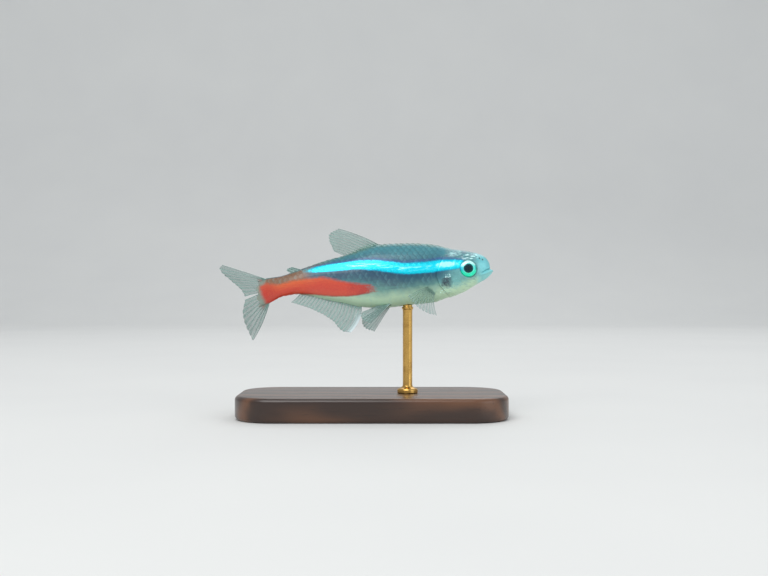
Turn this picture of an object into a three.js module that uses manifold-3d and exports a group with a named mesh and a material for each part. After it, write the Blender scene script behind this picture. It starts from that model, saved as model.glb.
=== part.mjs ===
// Neon tetra, life size, swimming with its tail swept to its left, held over a flat base by one rod.
// Millimetres, +Z up. The origin is the centre of the base's underside, and the fish looks along +X.
//
// Every part of the fish is shaped in the fish's own straight frame and then bent into the swimming pose:
// s runs backwards from the upper lip, y to the fish's left, z up from the body's axis.
import * as THREE from "three";
import { mergeVertices } from "three/addons/utils/BufferGeometryUtils.js";
import Module from "manifold-3d";

const wasm = await Module();
wasm.setup();

// Driving dimensions
const STANDARD_LENGTH = 29.2; // upper lip to the end of the tail stalk
const HALF_WIDTH = 2.15; // of the trunk at its widest
const GAP = 0.28; // between nodes that touch
const EYE_RADIUS = 1.12;
const FIN_ROOT = 0.28; // half the thickness of a fin's membrane where it grows from the body
const FIN_TIP = 0.14; // and at its free edge
const RAY_RIDGE = 0.11; // how far a fin ray stands up from the membrane
const RING_SIDES = 32; // points round the body
const FAR = 6; // past the body's surface on either side

// The pose
const HEAD_YAW = 3; // degrees that the head turns to the fish's left
const TAIL_YAW = 27; // degrees that the tail stalk's end turns to the fish's left
const TAIL_DIP = 9; // degrees that the tail fin points below the body's axis
const BANK = 9; // degrees that the back leans away to the left
const PITCH = 4.2; // degrees that the nose points up
const NECK = 8; // station where the head starts to turn
const LOIN = 15; // station where the tail starts to turn
const DIP_START = 23.5; // station where the tail starts to dip
const ANCHOR = 12; // station that stands over the stand
const ANCHOR_AT = new THREE.Vector3(2.9, 0, 18);

// The stand
const BASE = { length: 34, width: 16, height: 3, corner: 5, bevel: 0.5 };
const ROD = { radius: 0.6, collarRadius: 1.3, collarHeight: 0.8, station: 10.7 };

const radians = THREE.MathUtils.degToRad;
const mix = THREE.MathUtils.lerp;
const vec = (s, y, z) => new THREE.Vector3(s, y, z);

// A smooth step from 0 at a to 1 at b.
const ease = (x, a, b) => THREE.MathUtils.smoothstep(x, a, b);

// A curve through [station, value] pairs that never overshoots them.
function through(pairs) {
  const [x, v] = [pairs.map((p) => p[0]), pairs.map((p) => p[1])];
  const rise = x.slice(1).map((_, i) => (v[i + 1] - v[i]) / (x[i + 1] - x[i]));
  const slope = v.map((_, i) => {
    const [before, after] = [rise[i - 1], rise[i]];
    if (before === undefined || after === undefined) return before ?? after;
    return before * after <= 0 ? 0 : (2 * before * after) / (before + after);
  });
  return (s) => {
    const inside = THREE.MathUtils.clamp(s, x[0], x.at(-1));
    const i = Math.max(0, x.findLastIndex((at, k) => at <= inside && k < rise.length));
    const span = x[i + 1] - x[i];
    const t = (inside - x[i]) / span;
    const [t2, t3] = [t * t, t * t * t];
    const ends = (2 * t3 - 3 * t2 + 1) * v[i] + (3 * t2 - 2 * t3) * v[i + 1];
    return ends + span * ((t3 - 2 * t2 + t) * slope[i] + (t3 - t2) * slope[i + 1]);
  };
}

// The body's outline from the side and its half width from above, by station.
const back = through([
  [-0.1, 1.3], [1, 1.8], [1.8, 2.12], [3.2, 2.48], [4.6, 2.78], [6, 3.3], [8, 3.72], [10.5, 3.94],
  [13.5, 4.04], [15.7, 3.6], [17.8, 3.0], [20.1, 2.6], [23.2, 1.86], [25.3, 1.38], [26.8, 1.24],
  [28.2, 1.42], [STANDARD_LENGTH, 1.5],
]);
const belly = through([
  [-0.1, -1.0], [1, -1.6], [2, -2.12], [3.5, -2.88], [6, -3.62], [7.3, -3.94], [10.5, -4.06],
  [12.8, -4.18], [15, -4.06], [16.8, -3.8], [18.4, -3.3], [20.5, -2.7], [22.2, -2.14], [23.7, -1.7],
  [25.2, -1.45], [26.6, -1.45], [28.2, -1.8], [STANDARD_LENGTH, -1.92],
]);
const flank = through([
  [-0.1, 0.75], [1, 1.12], [1.8, 1.4], [2.6, 1.62], [3.6, 1.8], [5, 1.95], [7, 2.08], [9, HALF_WIDTH],
  [12, 2.1], [15, 1.9], [18, 1.55], [21, 1.17], [24, 0.85], [26.5, 0.66], [STANDARD_LENGTH, 0.46],
]);

// The body's cross-section: the back is sharper than the belly.
const BACK_SHARPNESS = 1.22;
const BELLY_SHARPNESS = 1.0;

// How full the section is behind a blunt, rounded front: 0 at the front itself and 1 from length onwards.
function blunt(s, front, length) {
  const t = THREE.MathUtils.clamp((s - front) / length, 0, 1);
  return (1 - (1 - t) ** 2.4) ** (1 / 2.4);
}

// A point of a form whose outline is given by top, bottom and width curves.
// The angle runs round the section: 0 is the fish's left and 90 degrees the back.
function onForm(form, s, angle, grow = 0) {
  const full = blunt(s, form.front, form.noseLength);
  const [top, bottom] = [form.top(s), form.bottom(s)];
  const middle = mix(form.noseHeight, (top + bottom) / 2, ease(s, form.front, form.noseSettles));
  const up = Math.sin(angle);
  const side = Math.cos(angle);
  const sharp = up > 0 ? BACK_SHARPNESS : BELLY_SHARPNESS;
  const reach = (up > 0 ? top - middle : middle - bottom) * full + grow;
  const out = form.width(s) * full + grow;
  return vec(s, Math.sign(side) * out * Math.abs(side) ** sharp, middle + up * reach);
}

// A closed form built of rings at stations from front to end, closed by a point at each end.
function loft(form, stations, grow = 0) {
  const rings = stations.map((s) =>
    Array.from({ length: RING_SIDES }, (_, i) => onForm(form, s, (i / RING_SIDES) * 2 * Math.PI, grow)),
  );
  const tips = [stations[0], stations.at(-1)].map((s, i) => {
    const middle = rings.at(-i).reduce((sum, p) => sum.add(p), vec(0, 0, 0)).divideScalar(RING_SIDES);
    return middle.setX(s);
  });
  const points = [...rings.flat(), ...tips];
  const faces = [];
  for (let i = 0; i < RING_SIDES; i++) {
    const next = (i + 1) % RING_SIDES;
    for (let r = 0; r < rings.length - 1; r++) {
      const [a, b] = [r * RING_SIDES, (r + 1) * RING_SIDES];
      faces.push([a + i, a + next, b + next], [a + i, b + next, b + i]);
    }
    const last = (rings.length - 1) * RING_SIDES;
    faces.push([points.length - 2, next, i], [points.length - 1, last + i, last + next]);
  }
  return solid(points, faces);
}

// A closed surface, given by its points and triangles, as a solid that faces out.
function solid(points, faces) {
  const make = (triangles) =>
    new wasm.Manifold(
      new wasm.Mesh({
        numProp: 3,
        vertProperties: new Float32Array(points.flatMap((p) => p.toArray())),
        triVerts: new Uint32Array(triangles.flat()),
      }),
    );
  const made = make(faces);
  return made.volume() > 0 ? made : make(faces.map(([a, b, c]) => [a, c, b]));
}

// A three.js geometry as a solid.
function solidOf(geometry) {
  const bare = new THREE.BufferGeometry().setIndex(geometry.index);
  bare.setAttribute("position", geometry.getAttribute("position"));
  const merged = mergeVertices(bare, 1e-4);
  const at = merged.getAttribute("position");
  const index = Array.from(merged.index.array);
  const points = Array.from({ length: at.count }, (_, i) => vec(at.getX(i), at.getY(i), at.getZ(i)));
  const faces = [];
  for (let i = 0; i < index.length; i += 3) {
    const face = index.slice(i, i + 3);
    if (new Set(face).size === 3) faces.push(face);
  }
  return solid(points, faces);
}

// A side-view outline, as [s, z] points joined by smooth curves, made into a slab from y = from to y = to.
function slab(outline, from, to) {
  const shape = new THREE.Shape(outline.map(([s, z]) => new THREE.Vector2(s, z)));
  const geometry = new THREE.ExtrudeGeometry(shape, { depth: to - from, bevelEnabled: false, steps: 1 });
  const turned = geometry.rotateX(Math.PI / 2).translate(0, to, 0);
  return solidOf(turned);
}

// Evenly spaced stations.
const spaced = (from, to, count) => Array.from({ length: count + 1 }, (_, i) => mix(from, to, i / count));

// Points of a smooth open curve through a few side-view points.
function smooth(points, count) {
  const curve = new THREE.SplineCurve(points.map(([s, z]) => new THREE.Vector2(s, z)));
  return curve.getPoints(count).map((p) => [p.x, p.y]);
}

// The same open curve moved sideways by a distance, to its left as it runs.
function beside(line, distance) {
  return line.map((p, i) => {
    const [a, b] = [line[Math.max(0, i - 1)], line[Math.min(line.length - 1, i + 1)]];
    const [ds, dz] = [b[0] - a[0], b[1] - a[1]];
    const length = Math.hypot(ds, dz);
    return [p[0] - (dz / length) * distance, p[1] + (ds / length) * distance];
  });
}

// How far the spine has turned to the fish's left at a station, in radians; the tail fin keeps turning.
function heading(s) {
  const tail = STANDARD_LENGTH - LOIN;
  const u = Math.max(0, (s - LOIN) / tail);
  const turned = u < 1 ? u * u : 2 * u - 1;
  return radians(TAIL_YAW * turned - HEAD_YAW * (1 - ease(s, 0, NECK)));
}

// How far the spine has dipped at a station.
function dip(s) {
  const reach = STANDARD_LENGTH - DIP_START;
  const u = Math.max(0, (s - DIP_START) / reach);
  return Math.tan(radians(TAIL_DIP)) * reach * (u < 1 ? (u * u) / 2 : u - 0.5);
}

// The spine from above: the place of a station, found by stepping along the turning spine from the anchor.
const SPINE_STEP = 0.25;
function spine(s) {
  const steps = Math.max(1, Math.ceil(Math.abs(s - ANCHOR) / SPINE_STEP));
  const step = (s - ANCHOR) / steps;
  const place = vec(0, 0, 0);
  for (let i = 0; i < steps; i++) {
    const turn = heading(ANCHOR + (i + 0.5) * step);
    place.add(vec(-Math.cos(turn) * step, Math.sin(turn) * step, 0));
  }
  return place;
}

// Takes a point of the straight fish to its place in the swimming pose.
const attitude = new THREE.Matrix4()
  .makeTranslation(ANCHOR_AT)
  .multiply(new THREE.Matrix4().makeRotationY(-radians(PITCH)))
  .multiply(new THREE.Matrix4().makeRotationX(-radians(BANK)));
function posed(p) {
  const turn = heading(p.x);
  const place = spine(p.x);
  place.add(vec(Math.sin(turn) * p.y, Math.cos(turn) * p.y, p.z - dip(p.x)));
  return place.applyMatrix4(attitude);
}

// A mesh of the straight fish's solid, bent into the pose, with its largest closed surface kept.
function poseMesh(name, made, material) {
  const pieces = made.decompose().sort((a, b) => b.volume() - a.volume());
  const { vertProperties, triVerts, numProp } = pieces[0].getMesh();
  const places = [];
  for (let i = 0; i < vertProperties.length; i += numProp) {
    places.push(...posed(vec(...vertProperties.subarray(i, i + 3))).toArray());
  }
  // Stations run backwards while X runs forwards, so the faces are turned to look out again.
  return meshOf(name, places, triVerts.toReversed(), material);
}

function meshOf(name, places, triangles, material) {
  const geometry = new THREE.BufferGeometry();
  geometry.setAttribute("position", new THREE.Float32BufferAttribute(places, 3));
  geometry.setIndex(Array.from(triangles));
  geometry.computeVertexNormals();
  const mesh = new THREE.Mesh(geometry, material);
  mesh.name = name;
  return mesh;
}

// Materials
const finish = (color, roughness, metalness = 0) =>
  new THREE.MeshStandardMaterial({ color, roughness, metalness });
const materials = {
  flesh: finish(0x7fa3a8, 0.35),
  red: finish(0xd9503c, 0.4),
  cover: finish(0xa9c6c9, 0.3),
  eye: finish(0x17c9a6, 0.1),
  fin: finish(0x8fb3a6, 0.45),
  wood: finish(0x3a2417, 0.45),
  brass: finish(0xc39a4b, 0.3, 1),
};

// The body as one form. Its rounded front fills out over noseLength, and noseHeight is the height of its tip.
const body = {
  top: back,
  bottom: belly,
  width: flank,
  front: -0.1,
  noseLength: 1.1,
  noseHeight: 0.15,
  noseSettles: 2.5,
};
const HEAD_STATIONS = [
  ...[0, 0.02, 0.06, 0.13, 0.24, 0.4, 0.62, 0.9].map((d) => body.front + d),
  ...spaced(1.15, 8, 17),
];
const TRUNK_STATIONS = spaced(8.6, 20, 15);
const TAIL_STATIONS = spaced(20.6, STANDARD_LENGTH, 13);
const wholeBody = loft(body, [...HEAD_STATIONS, ...TRUNK_STATIONS, ...TAIL_STATIONS]);

// The lower jaw juts past the upper lip and its edge runs back and down to the corner of the mouth.
const JAW = {
  top: through([[-0.5, 0.3], [2.5, 0.2]]),
  bottom: through([[-0.5, -0.95], [0.3, -1.38], [1, -1.62], [2, -2.14], [3.5, -2.9]]),
  width: through([[-0.5, 0.5], [0.3, 0.78], [1, 1.06], [2, 1.42], [3, 1.66]]),
  front: -0.5,
  noseLength: 0.9,
  noseHeight: -0.4,
  noseSettles: 2.5,
};
const JAW_STATIONS = [0, 0.02, 0.06, 0.14, 0.28, 0.5, 0.8, 1.1, 1.5, 1.9, 2.3, 2.7].map((d) => JAW.front + d);
const MOUTH_CORNER = [1.3, -0.82];
const JAW_HINGE = [1.95, -2.7];
const mouthLine = smooth([[-1, 0.12], [-0.1, -0.1], [0.6, -0.42], MOUTH_CORNER], 12);
const jawEdge = [...mouthLine, ...smooth([MOUTH_CORNER, [1.72, -1.5], JAW_HINGE], 6).slice(1)];
const jawOutline = [...jawEdge, [-1, -2.7]];
const jawClearance = [...beside(jawEdge, GAP), [-1.5, -3], [-1.5, 0.3]];
const LIP_RADIUS = 0.14;

// The height of the mouth line at a station.
function mouthHeight(s) {
  const after = Math.max(1, mouthLine.findIndex(([at]) => at >= s));
  const [a, b] = [mouthLine[after - 1], mouthLine[after]];
  return mix(a[1], b[1], (s - a[0]) / (b[0] - a[0]));
}

// A lip: a thin roll round the front of a form, a small distance above or below the mouth line.
function lip(form, offset) {
  const share = (s) => {
    const [middle, high, low] = [0, Math.PI / 2, -Math.PI / 2].map((angle) => onForm(form, s, angle).z);
    const rise = mouthHeight(s) + offset - middle;
    return rise / (rise > 0 ? high - middle : middle - low);
  };
  const [rear, search] = [MOUTH_CORNER[0] - 0.12, 0.01];
  let front = form.front + search;
  while (Math.abs(share(front)) >= 1) front += search;
  const sideOf = (side) =>
    spaced(0, 1, 8).map((t) => {
      const s = mix(front, rear, t * t);
      const on = onForm(form, s, Math.asin(share(s)), -LIP_RADIUS * 0.2);
      return vec(on.x, side * on.y, on.z);
    });
  const path = new THREE.CatmullRomCurve3([...sideOf(1).reverse().slice(0, -1), ...sideOf(-1)]);
  const section = new THREE.Shape().absarc(0, 0, LIP_RADIUS, 0, 2 * Math.PI);
  const options = { steps: 22, curveSegments: 3, bevelEnabled: false, extrudePath: path };
  return solidOf(new THREE.ExtrudeGeometry(section, options));
}

// The gill cover: a plate behind the eye that stands a little proud of the head and of the trunk.
const COVER_PROUD = 0.1;
const COVER_DEPTH = 0.85; // how near the middle the plate's inner face lies
const gillEdge = smooth(
  [
    [4.5, 4.6], [5.35, 2.6], [5.9, 1.3], [6.55, 0.1], [6.85, -0.9],
    [6.6, -2], [5.9, -2.9], [5.2, -3.6], [4.9, -4.6],
  ],
  30,
);
const coverRear = beside(gillEdge, -GAP / 2).filter(([, z]) => z < 1.15 && z > -2.6);
const coverFront = smooth(
  [
    coverRear.at(-1), [5.4, -3.0], [4.55, -2.82], [3.85, -2.2], [3.85, -1.4],
    [4.2, -0.5], [4.32, 0.5], [4.75, 1.25], [5.35, 1.48], coverRear[0],
  ],
  20,
);
const coverOutline = [...coverRear, ...coverFront.slice(1, -1)];

// A closed outline moved outwards by a distance.
function grownOutline(outline, distance) {
  const shape = outline.map(([s, z]) => new THREE.Vector2(s, z));
  const turn = THREE.ShapeUtils.area(shape) > 0 ? -1 : 1;
  return outline.map((p, i) => {
    const [a, b] = [outline.at(i - 1), outline[(i + 1) % outline.length]];
    const [ds, dz] = [b[0] - a[0], b[1] - a[1]];
    const length = Math.hypot(ds, dz);
    return [p[0] - ((turn * dz) / length) * distance, p[1] + ((turn * ds) / length) * distance];
  });
}

// An eyeball, or with grow its socket, set in the flank.
// bulge is how far it stands out of the skin, and depth its half thickness.
const EYE_AT = { station: 2.82, height: -0.18, bulge: 0.24, depth: 0.72 };
function eyeball(side, grow = 0) {
  const skin = onForm(body, EYE_AT.station, 0).y;
  const ball = new THREE.SphereGeometry(1, 20, 12).rotateX(Math.PI / 2);
  ball.scale(EYE_RADIUS + grow, EYE_AT.depth + grow, EYE_RADIUS + grow);
  ball.translate(EYE_AT.station, side * (skin + EYE_AT.bulge - EYE_AT.depth), EYE_AT.height);
  return solidOf(ball);
}

// The angle runs from the flank up to the back.
const NOSTRIL = { station: 0.95, angle: radians(42), radius: 0.17 };
function nostril(side) {
  const at = onForm(body, NOSTRIL.station, NOSTRIL.angle);
  const pit = new THREE.SphereGeometry(NOSTRIL.radius, 10, 8).scale(1.3, 1, 1);
  return solidOf(pit.translate(at.x, side * at.y, at.z));
}

function headParts() {
  const headRegion = slab([...beside(gillEdge, -GAP / 2), [-FAR, -FAR], [-FAR, FAR]], -FAR, FAR);
  const clearance = slab(jawClearance, -FAR, FAR);
  let head = wholeBody.intersect(headRegion).subtract(clearance);
  head = head.add(lip(body, GAP / 2 + LIP_RADIUS).intersect(headRegion).subtract(clearance));
  const coverBody = loft(body, HEAD_STATIONS, COVER_PROUD);
  const parts = [];
  for (const [side, word] of [[-1, "right"], [1, "left"]]) {
    const [inner, outer] = side < 0 ? [-FAR, -COVER_DEPTH] : [COVER_DEPTH, FAR];
    const cover = coverBody.intersect(slab(coverOutline, inner, outer));
    const [pocketInner, pocketOuter] = side < 0 ? [-FAR, -COVER_DEPTH + GAP] : [COVER_DEPTH - GAP, FAR];
    head = head.subtract(slab(grownOutline(coverOutline, GAP), pocketInner, pocketOuter));
    head = head.subtract(eyeball(side, GAP)).subtract(nostril(side));
    parts.push(poseMesh(`gill_cover_${word}`, cover, materials.cover));
    parts.push(poseMesh(`eye_${word}`, eyeball(side), materials.eye));
  }
  const jaw = loft(JAW, JAW_STATIONS).add(lip(JAW, -LIP_RADIUS)).intersect(slab(jawOutline, -FAR, FAR));
  parts.push(poseMesh("lower_jaw", jaw, materials.flesh));
  parts.push(poseMesh("head", head, materials.flesh));
  return parts;
}

const TAIL_CUT = 20.3; // station where the trunk ends and the tail stalk begins
function trunkParts() {
  const trunkRegion = slab([...beside(gillEdge, GAP / 2), [TAIL_CUT, -FAR], [TAIL_CUT, FAR]], -FAR, FAR);
  const [front, rear] = [TAIL_CUT + GAP, STANDARD_LENGTH + FAR];
  const stalkRegion = slab([[front, -FAR], [rear, -FAR], [rear, FAR], [front, FAR]], -FAR, FAR);
  return [
    poseMesh("trunk", wholeBody.intersect(trunkRegion), materials.flesh),
    poseMesh("tail_stalk", wholeBody.intersect(stalkRegion), materials.red),
  ];
}

// A fin: rays fan out from a root line to a free edge, and stand up as ridges on both faces of one membrane.
// across runs from 0 at the leading ray to 1 at the last; along from 0 at the root to 1 at the free edge.
// The leading ray bows out of the straight line from root to tip by bow, and those behind it less and less.
// The membrane sways along lean.
const RAY_SHARE = 0.3; // half of a ridge's foot, as a share of the way to the next ray
const EDGE_NOTCH = 0.04; // how far the membrane draws back between the rays' tips, as a share of their length
const [NO_BOW, SIDEWAYS] = [vec(0, 0, 0), vec(0, 1, 0)];
const still = () => 0;
function fin(name, { rays, rows, root, edge, bow = NO_BOW, sway = still, lean = SIDEWAYS, rayless = false }) {
  const [ridge, drawnBack] = rayless ? [0, 0] : [RAY_RIDGE, EDGE_NOTCH];
  const columns = [];
  for (let ray = 0; ray < rays; ray++) {
    for (const offset of [-RAY_SHARE, 0, RAY_SHARE]) {
      const across = (ray + offset) / (rays - 1);
      if (across >= 0 && across <= 1) columns.push({ across, raised: offset === 0 ? 1 : 0 });
    }
  }
  const sheet = (across, along) => {
    const [from, to] = [root(across), edge(across)];
    const bowed = 4 * along * (1 - along) * (1 - across) ** 2;
    return from.lerp(to, along).addScaledVector(bow, bowed).addScaledVector(lean, sway(across, along));
  };
  const facing = (across, along) => {
    const step = 0.02;
    const [a, b] = [Math.max(0, across - step), Math.min(1, across + step)];
    const [c, d] = [Math.max(0, along - step), Math.min(1, along + step)];
    const wide = sheet(b, along).sub(sheet(a, along));
    return wide.cross(sheet(across, d).sub(sheet(across, c))).normalize();
  };
  const points = [];
  for (const face of [1, -1]) {
    for (const { across, raised } of columns) {
      for (let row = 0; row <= rows; row++) {
        const reach = row / rows;
        const along = reach * (1 - drawnBack * (1 - raised) * reach);
        const half = mix(FIN_ROOT, FIN_TIP, along) + ridge * raised * (1 - 0.5 * along);
        points.push(sheet(across, along).addScaledVector(facing(across, along), face * half));
      }
    }
  }
  const strip = rows + 1;
  const other = columns.length * strip;
  const faces = [];
  const quad = (a, b, c, d) => faces.push([a, b, c], [a, c, d]);
  for (let column = 0; column < columns.length - 1; column++) {
    for (let row = 0; row < rows; row++) {
      const a = column * strip + row;
      quad(a, a + strip, a + strip + 1, a + 1);
      faces.push([a + other, a + strip + 1 + other, a + strip + other]);
      faces.push([a + other, a + 1 + other, a + strip + 1 + other]);
    }
    const [near, far] = [column * strip, column * strip + rows];
    quad(near, near + other, near + strip + other, near + strip);
    quad(far, far + strip, far + strip + other, far + other);
  }
  for (let row = 0; row < rows; row++) {
    const [first, last] = [row, (columns.length - 1) * strip + row];
    quad(first, first + 1, first + 1 + other, first + other);
    quad(last, last + other, last + 1 + other, last + 1);
  }
  return poseMesh(name, solid(points, faces), materials.fin);
}

// A smooth curve through points of the straight fish, read from 0 to 1 along its length.
function track(points) {
  const curve = new THREE.CatmullRomCurve3(points.map((p) => vec(...p)), false, "centripetal");
  return (t) => curve.getPointAt(THREE.MathUtils.clamp(t, 0, 1));
}

// The root line of a fin on the back or under the belly, a gap off the skin.
const onBack = (from, to) => (t) => vec(mix(from, to, t), 0, back(mix(from, to, t)) + GAP);
const onBelly = (from, to) => (t) => vec(mix(from, to, t), 0, belly(mix(from, to, t)) - GAP);

function medianFins() {
  return [
    fin("dorsal_fin", {
      rays: 11,
      rows: 6,
      root: onBack(13.6, 17.9),
      edge: track([[18.9, 0, 6.62], [20.1, 0, 6.1], [20.25, 0, 5.3], [19.95, 0, 4.5], [19.6, 0, 3.65]]),
      bow: vec(-0.1, 0, 0.15),
      sway: (across, along) => 0.5 * along * along * (1 - 0.4 * across),
    }),
    fin("adipose_fin", {
      rays: 4,
      rows: 4,
      root: onBack(23.8, 24.9),
      edge: track([[25.2, 0, 2.15], [25.85, 0, 2.0], [25.9, 0, 1.75]]),
      rayless: true,
    }),
    fin("anal_fin", {
      rays: 20,
      rows: 5,
      root: onBelly(16.6, 24.0),
      edge: track([[18.2, 0, -7.15], [19.2, 0, -6.85], [20.4, 0, -5.35], [22.4, 0, -3.95], [25.4, 0, -2.5]]),
      bow: vec(-0.45, 0, -0.1),
      sway: (across, along) => -0.45 * along * along,
    }),
  ];
}

// The tail fin is forked, so it is two nodes, one for each lobe, that meet at the middle of the stalk's end.
const LOBE_TWIST = { upper: -10, lower: 24 }; // degrees that each lobe turns past the stalk's own heading
const TAIL_MIDDLE = -0.22;
function lobeTwist(p, degrees) {
  const out = Math.abs(p.z - TAIL_MIDDLE) / 5;
  const turn = radians(degrees) * ease(out, 0, 1);
  const run = p.x - STANDARD_LENGTH;
  return vec(STANDARD_LENGTH + run * Math.cos(turn), p.y + run * Math.sin(turn), p.z);
}

function tailFin() {
  const start = STANDARD_LENGTH + GAP;
  const lobes = [
    {
      name: "tail_fin_upper",
      rays: 10,
      twist: LOBE_TWIST.upper,
      bow: vec(0, 0, 0.05),
      root: track([[28.7, 0, 1.8], [29.3, 0, 1.76], [start, 0, 1.3], [start, 0, TAIL_MIDDLE + GAP / 2]]),
      edge: track([[35.9, 0, 5.5], [36.5, 0, 5.3], [35.0, 0, 3.2], [33.3, 0, 1.4], [32.7, 0, 0.25]]),
    },
    {
      name: "tail_fin_lower",
      rays: 9,
      twist: LOBE_TWIST.lower,
      bow: vec(-0.4, 0, -0.7),
      root: track([[28.6, 0, -2.2], [29.25, 0, -2.24], [start, 0, -1.75], [start, 0, TAIL_MIDDLE - GAP / 2]]),
      edge: track([[35.1, 0, -5.0], [35.9, 0, -4.7], [34.8, 0, -2.8], [33.4, 0, -1.2], [32.7, 0, -0.2]]),
    },
  ];
  return lobes.map(({ name, rays, twist, bow, root, edge }) =>
    fin(name, { rays, rows: 7, root, bow, edge: (t) => lobeTwist(edge(t), twist) }),
  );
}

// A point of the skin, lifted off it by a gap.
function offSkin(s, degrees, side) {
  const [p, ahead] = [onForm(body, s, radians(degrees)), onForm(body, s, radians(degrees + 2))];
  const along = ahead.sub(p);
  const out = vec(0, -along.z, along.y).normalize();
  if (out.y < 0) out.negate();
  const lifted = p.addScaledVector(out, GAP + 0.05);
  return vec(lifted.x, side * lifted.y, lifted.z);
}

// Paired fins are given for the fish's left; side -1 mirrors them to the right.
const mirrored = (points, side) => points.map(([s, y, z]) => [s, side * y, z]);

function pairedFins() {
  const pelvicRoot = (side) => (t) => {
    const s = mix(12.9, 14.1, t);
    return vec(s, side * mix(0.75, 0.42, t), belly(s) - GAP - 0.02 + 0.1 * (1 - t));
  };
  const pectoralRoot = (side) => (t) => offSkin(mix(7.25, 7.75, t), mix(-47, -33, t), side);
  return [
    fin("pectoral_fin_right", {
      rays: 11,
      rows: 5,
      root: pectoralRoot(-1),
      edge: track(mirrored([[7.3, 3.9, -6.2], [8.4, 4.3, -5.9], [9.8, 4.2, -4.8], [10.7, 3.7, -3.5]], -1)),
      lean: vec(1, 0, 0),
      sway: (across, along) => 0.25 * Math.sin(along * Math.PI),
    }),
    fin("pectoral_fin_left", {
      rays: 11,
      rows: 5,
      root: pectoralRoot(1),
      edge: track([[10.9, 3.6, -3.7], [11.9, 3.5, -3.1], [12.2, 3.2, -2.2], [11.8, 2.9, -1.4]]),
      sway: (across, along) => 0.25 * Math.sin(along * Math.PI),
    }),
    fin("pelvic_fin_right", {
      rays: 8,
      rows: 5,
      root: pelvicRoot(-1),
      edge: track(mirrored([[15.5, 2, -6.35], [16.4, 2.05, -5.9], [16.7, 1.8, -5.3], [16.5, 1.4, -4.7]], -1)),
      sway: (across, along) => -0.15 * Math.sin(along * Math.PI),
    }),
    fin("pelvic_fin_left", {
      rays: 8,
      rows: 5,
      root: pelvicRoot(1),
      edge: track([[15.2, 1.4, -7.0], [16.2, 1.5, -6.55], [16.7, 1.35, -5.9], [16.6, 1.1, -5.2]]),
      sway: (across, along) => 0.15 * Math.sin(along * Math.PI),
    }),
  ];
}

function standBase() {
  const [halfLength, halfWidth] = [BASE.length / 2 - BASE.bevel, BASE.width / 2 - BASE.bevel];
  const corner = BASE.corner - BASE.bevel;
  const outline = new THREE.Shape();
  outline.absarc(halfLength - corner, halfWidth - corner, corner, 0, Math.PI / 2);
  outline.absarc(corner - halfLength, halfWidth - corner, corner, Math.PI / 2, Math.PI);
  outline.absarc(corner - halfLength, corner - halfWidth, corner, Math.PI, Math.PI * 1.5);
  outline.absarc(halfLength - corner, corner - halfWidth, corner, Math.PI * 1.5, Math.PI * 2);
  const plate = new THREE.ExtrudeGeometry(outline, {
    depth: BASE.height - 2 * BASE.bevel,
    bevelThickness: BASE.bevel,
    bevelSize: BASE.bevel,
    bevelSegments: 2,
    curveSegments: 5,
  }).translate(0, 0, BASE.bevel);
  const { vertProperties, triVerts } = solidOf(plate).getMesh();
  return meshOf("stand_base", vertProperties, triVerts, materials.wood);
}

// The rod stands on the base in a collar, and its top follows the belly that it holds.
function standRod(trunk) {
  const foot = BASE.height + GAP;
  const at = posed(vec(ROD.station, 0, belly(ROD.station)));
  const profile = [
    [0, 0], [ROD.collarRadius, 0], [ROD.collarRadius, ROD.collarHeight - 0.25],
    [ROD.collarRadius - 0.25, ROD.collarHeight], [ROD.radius, ROD.collarHeight], [ROD.radius, at.z - foot],
    [0, at.z - foot],
  ].map(([r, z]) => new THREE.Vector2(r, z));
  const rod = solidOf(new THREE.LatheGeometry(profile, 20).rotateX(Math.PI / 2).translate(at.x, at.y, foot));
  const { vertProperties, triVerts } = rod.getMesh();
  const up = new THREE.Raycaster();
  for (let i = 0; i < vertProperties.length; i += 3) {
    const [x, y, z] = vertProperties.subarray(i, i + 3);
    if (z < at.z - 0.01) continue;
    up.set(vec(x, y, 0), vec(0, 0, 1));
    vertProperties[i + 2] = up.intersectObject(trunk)[0].point.z - GAP;
  }
  return meshOf("stand_rod", vertProperties, triVerts, materials.brass);
}

const fish = new THREE.Group();
fish.add(...headParts(), ...trunkParts(), ...medianFins(), ...tailFin(), ...pairedFins());
const trunk = fish.children.find((mesh) => mesh.name === "trunk");
const stand = new THREE.Group();
stand.add(standBase(), standRod(trunk));
const model = new THREE.Group();
model.add(fish, stand);

export default model;
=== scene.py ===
"""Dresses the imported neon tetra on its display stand.

One skin with a coat of overlapping scales replaces the solids of the flesh, and finer eyes, rayed fins and
a finer stand replace theirs. Each piece is worked out in the fish's own straight frame, in millimetres:
s runs backwards from the upper lip, y to the fish's left and z up from the body's axis. SwimPose then bends
it into the swimming pose, in metres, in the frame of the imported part.
"""

from __future__ import annotations

import logging
from dataclasses import dataclass
from enum import Enum
from typing import Callable, Union

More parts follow.
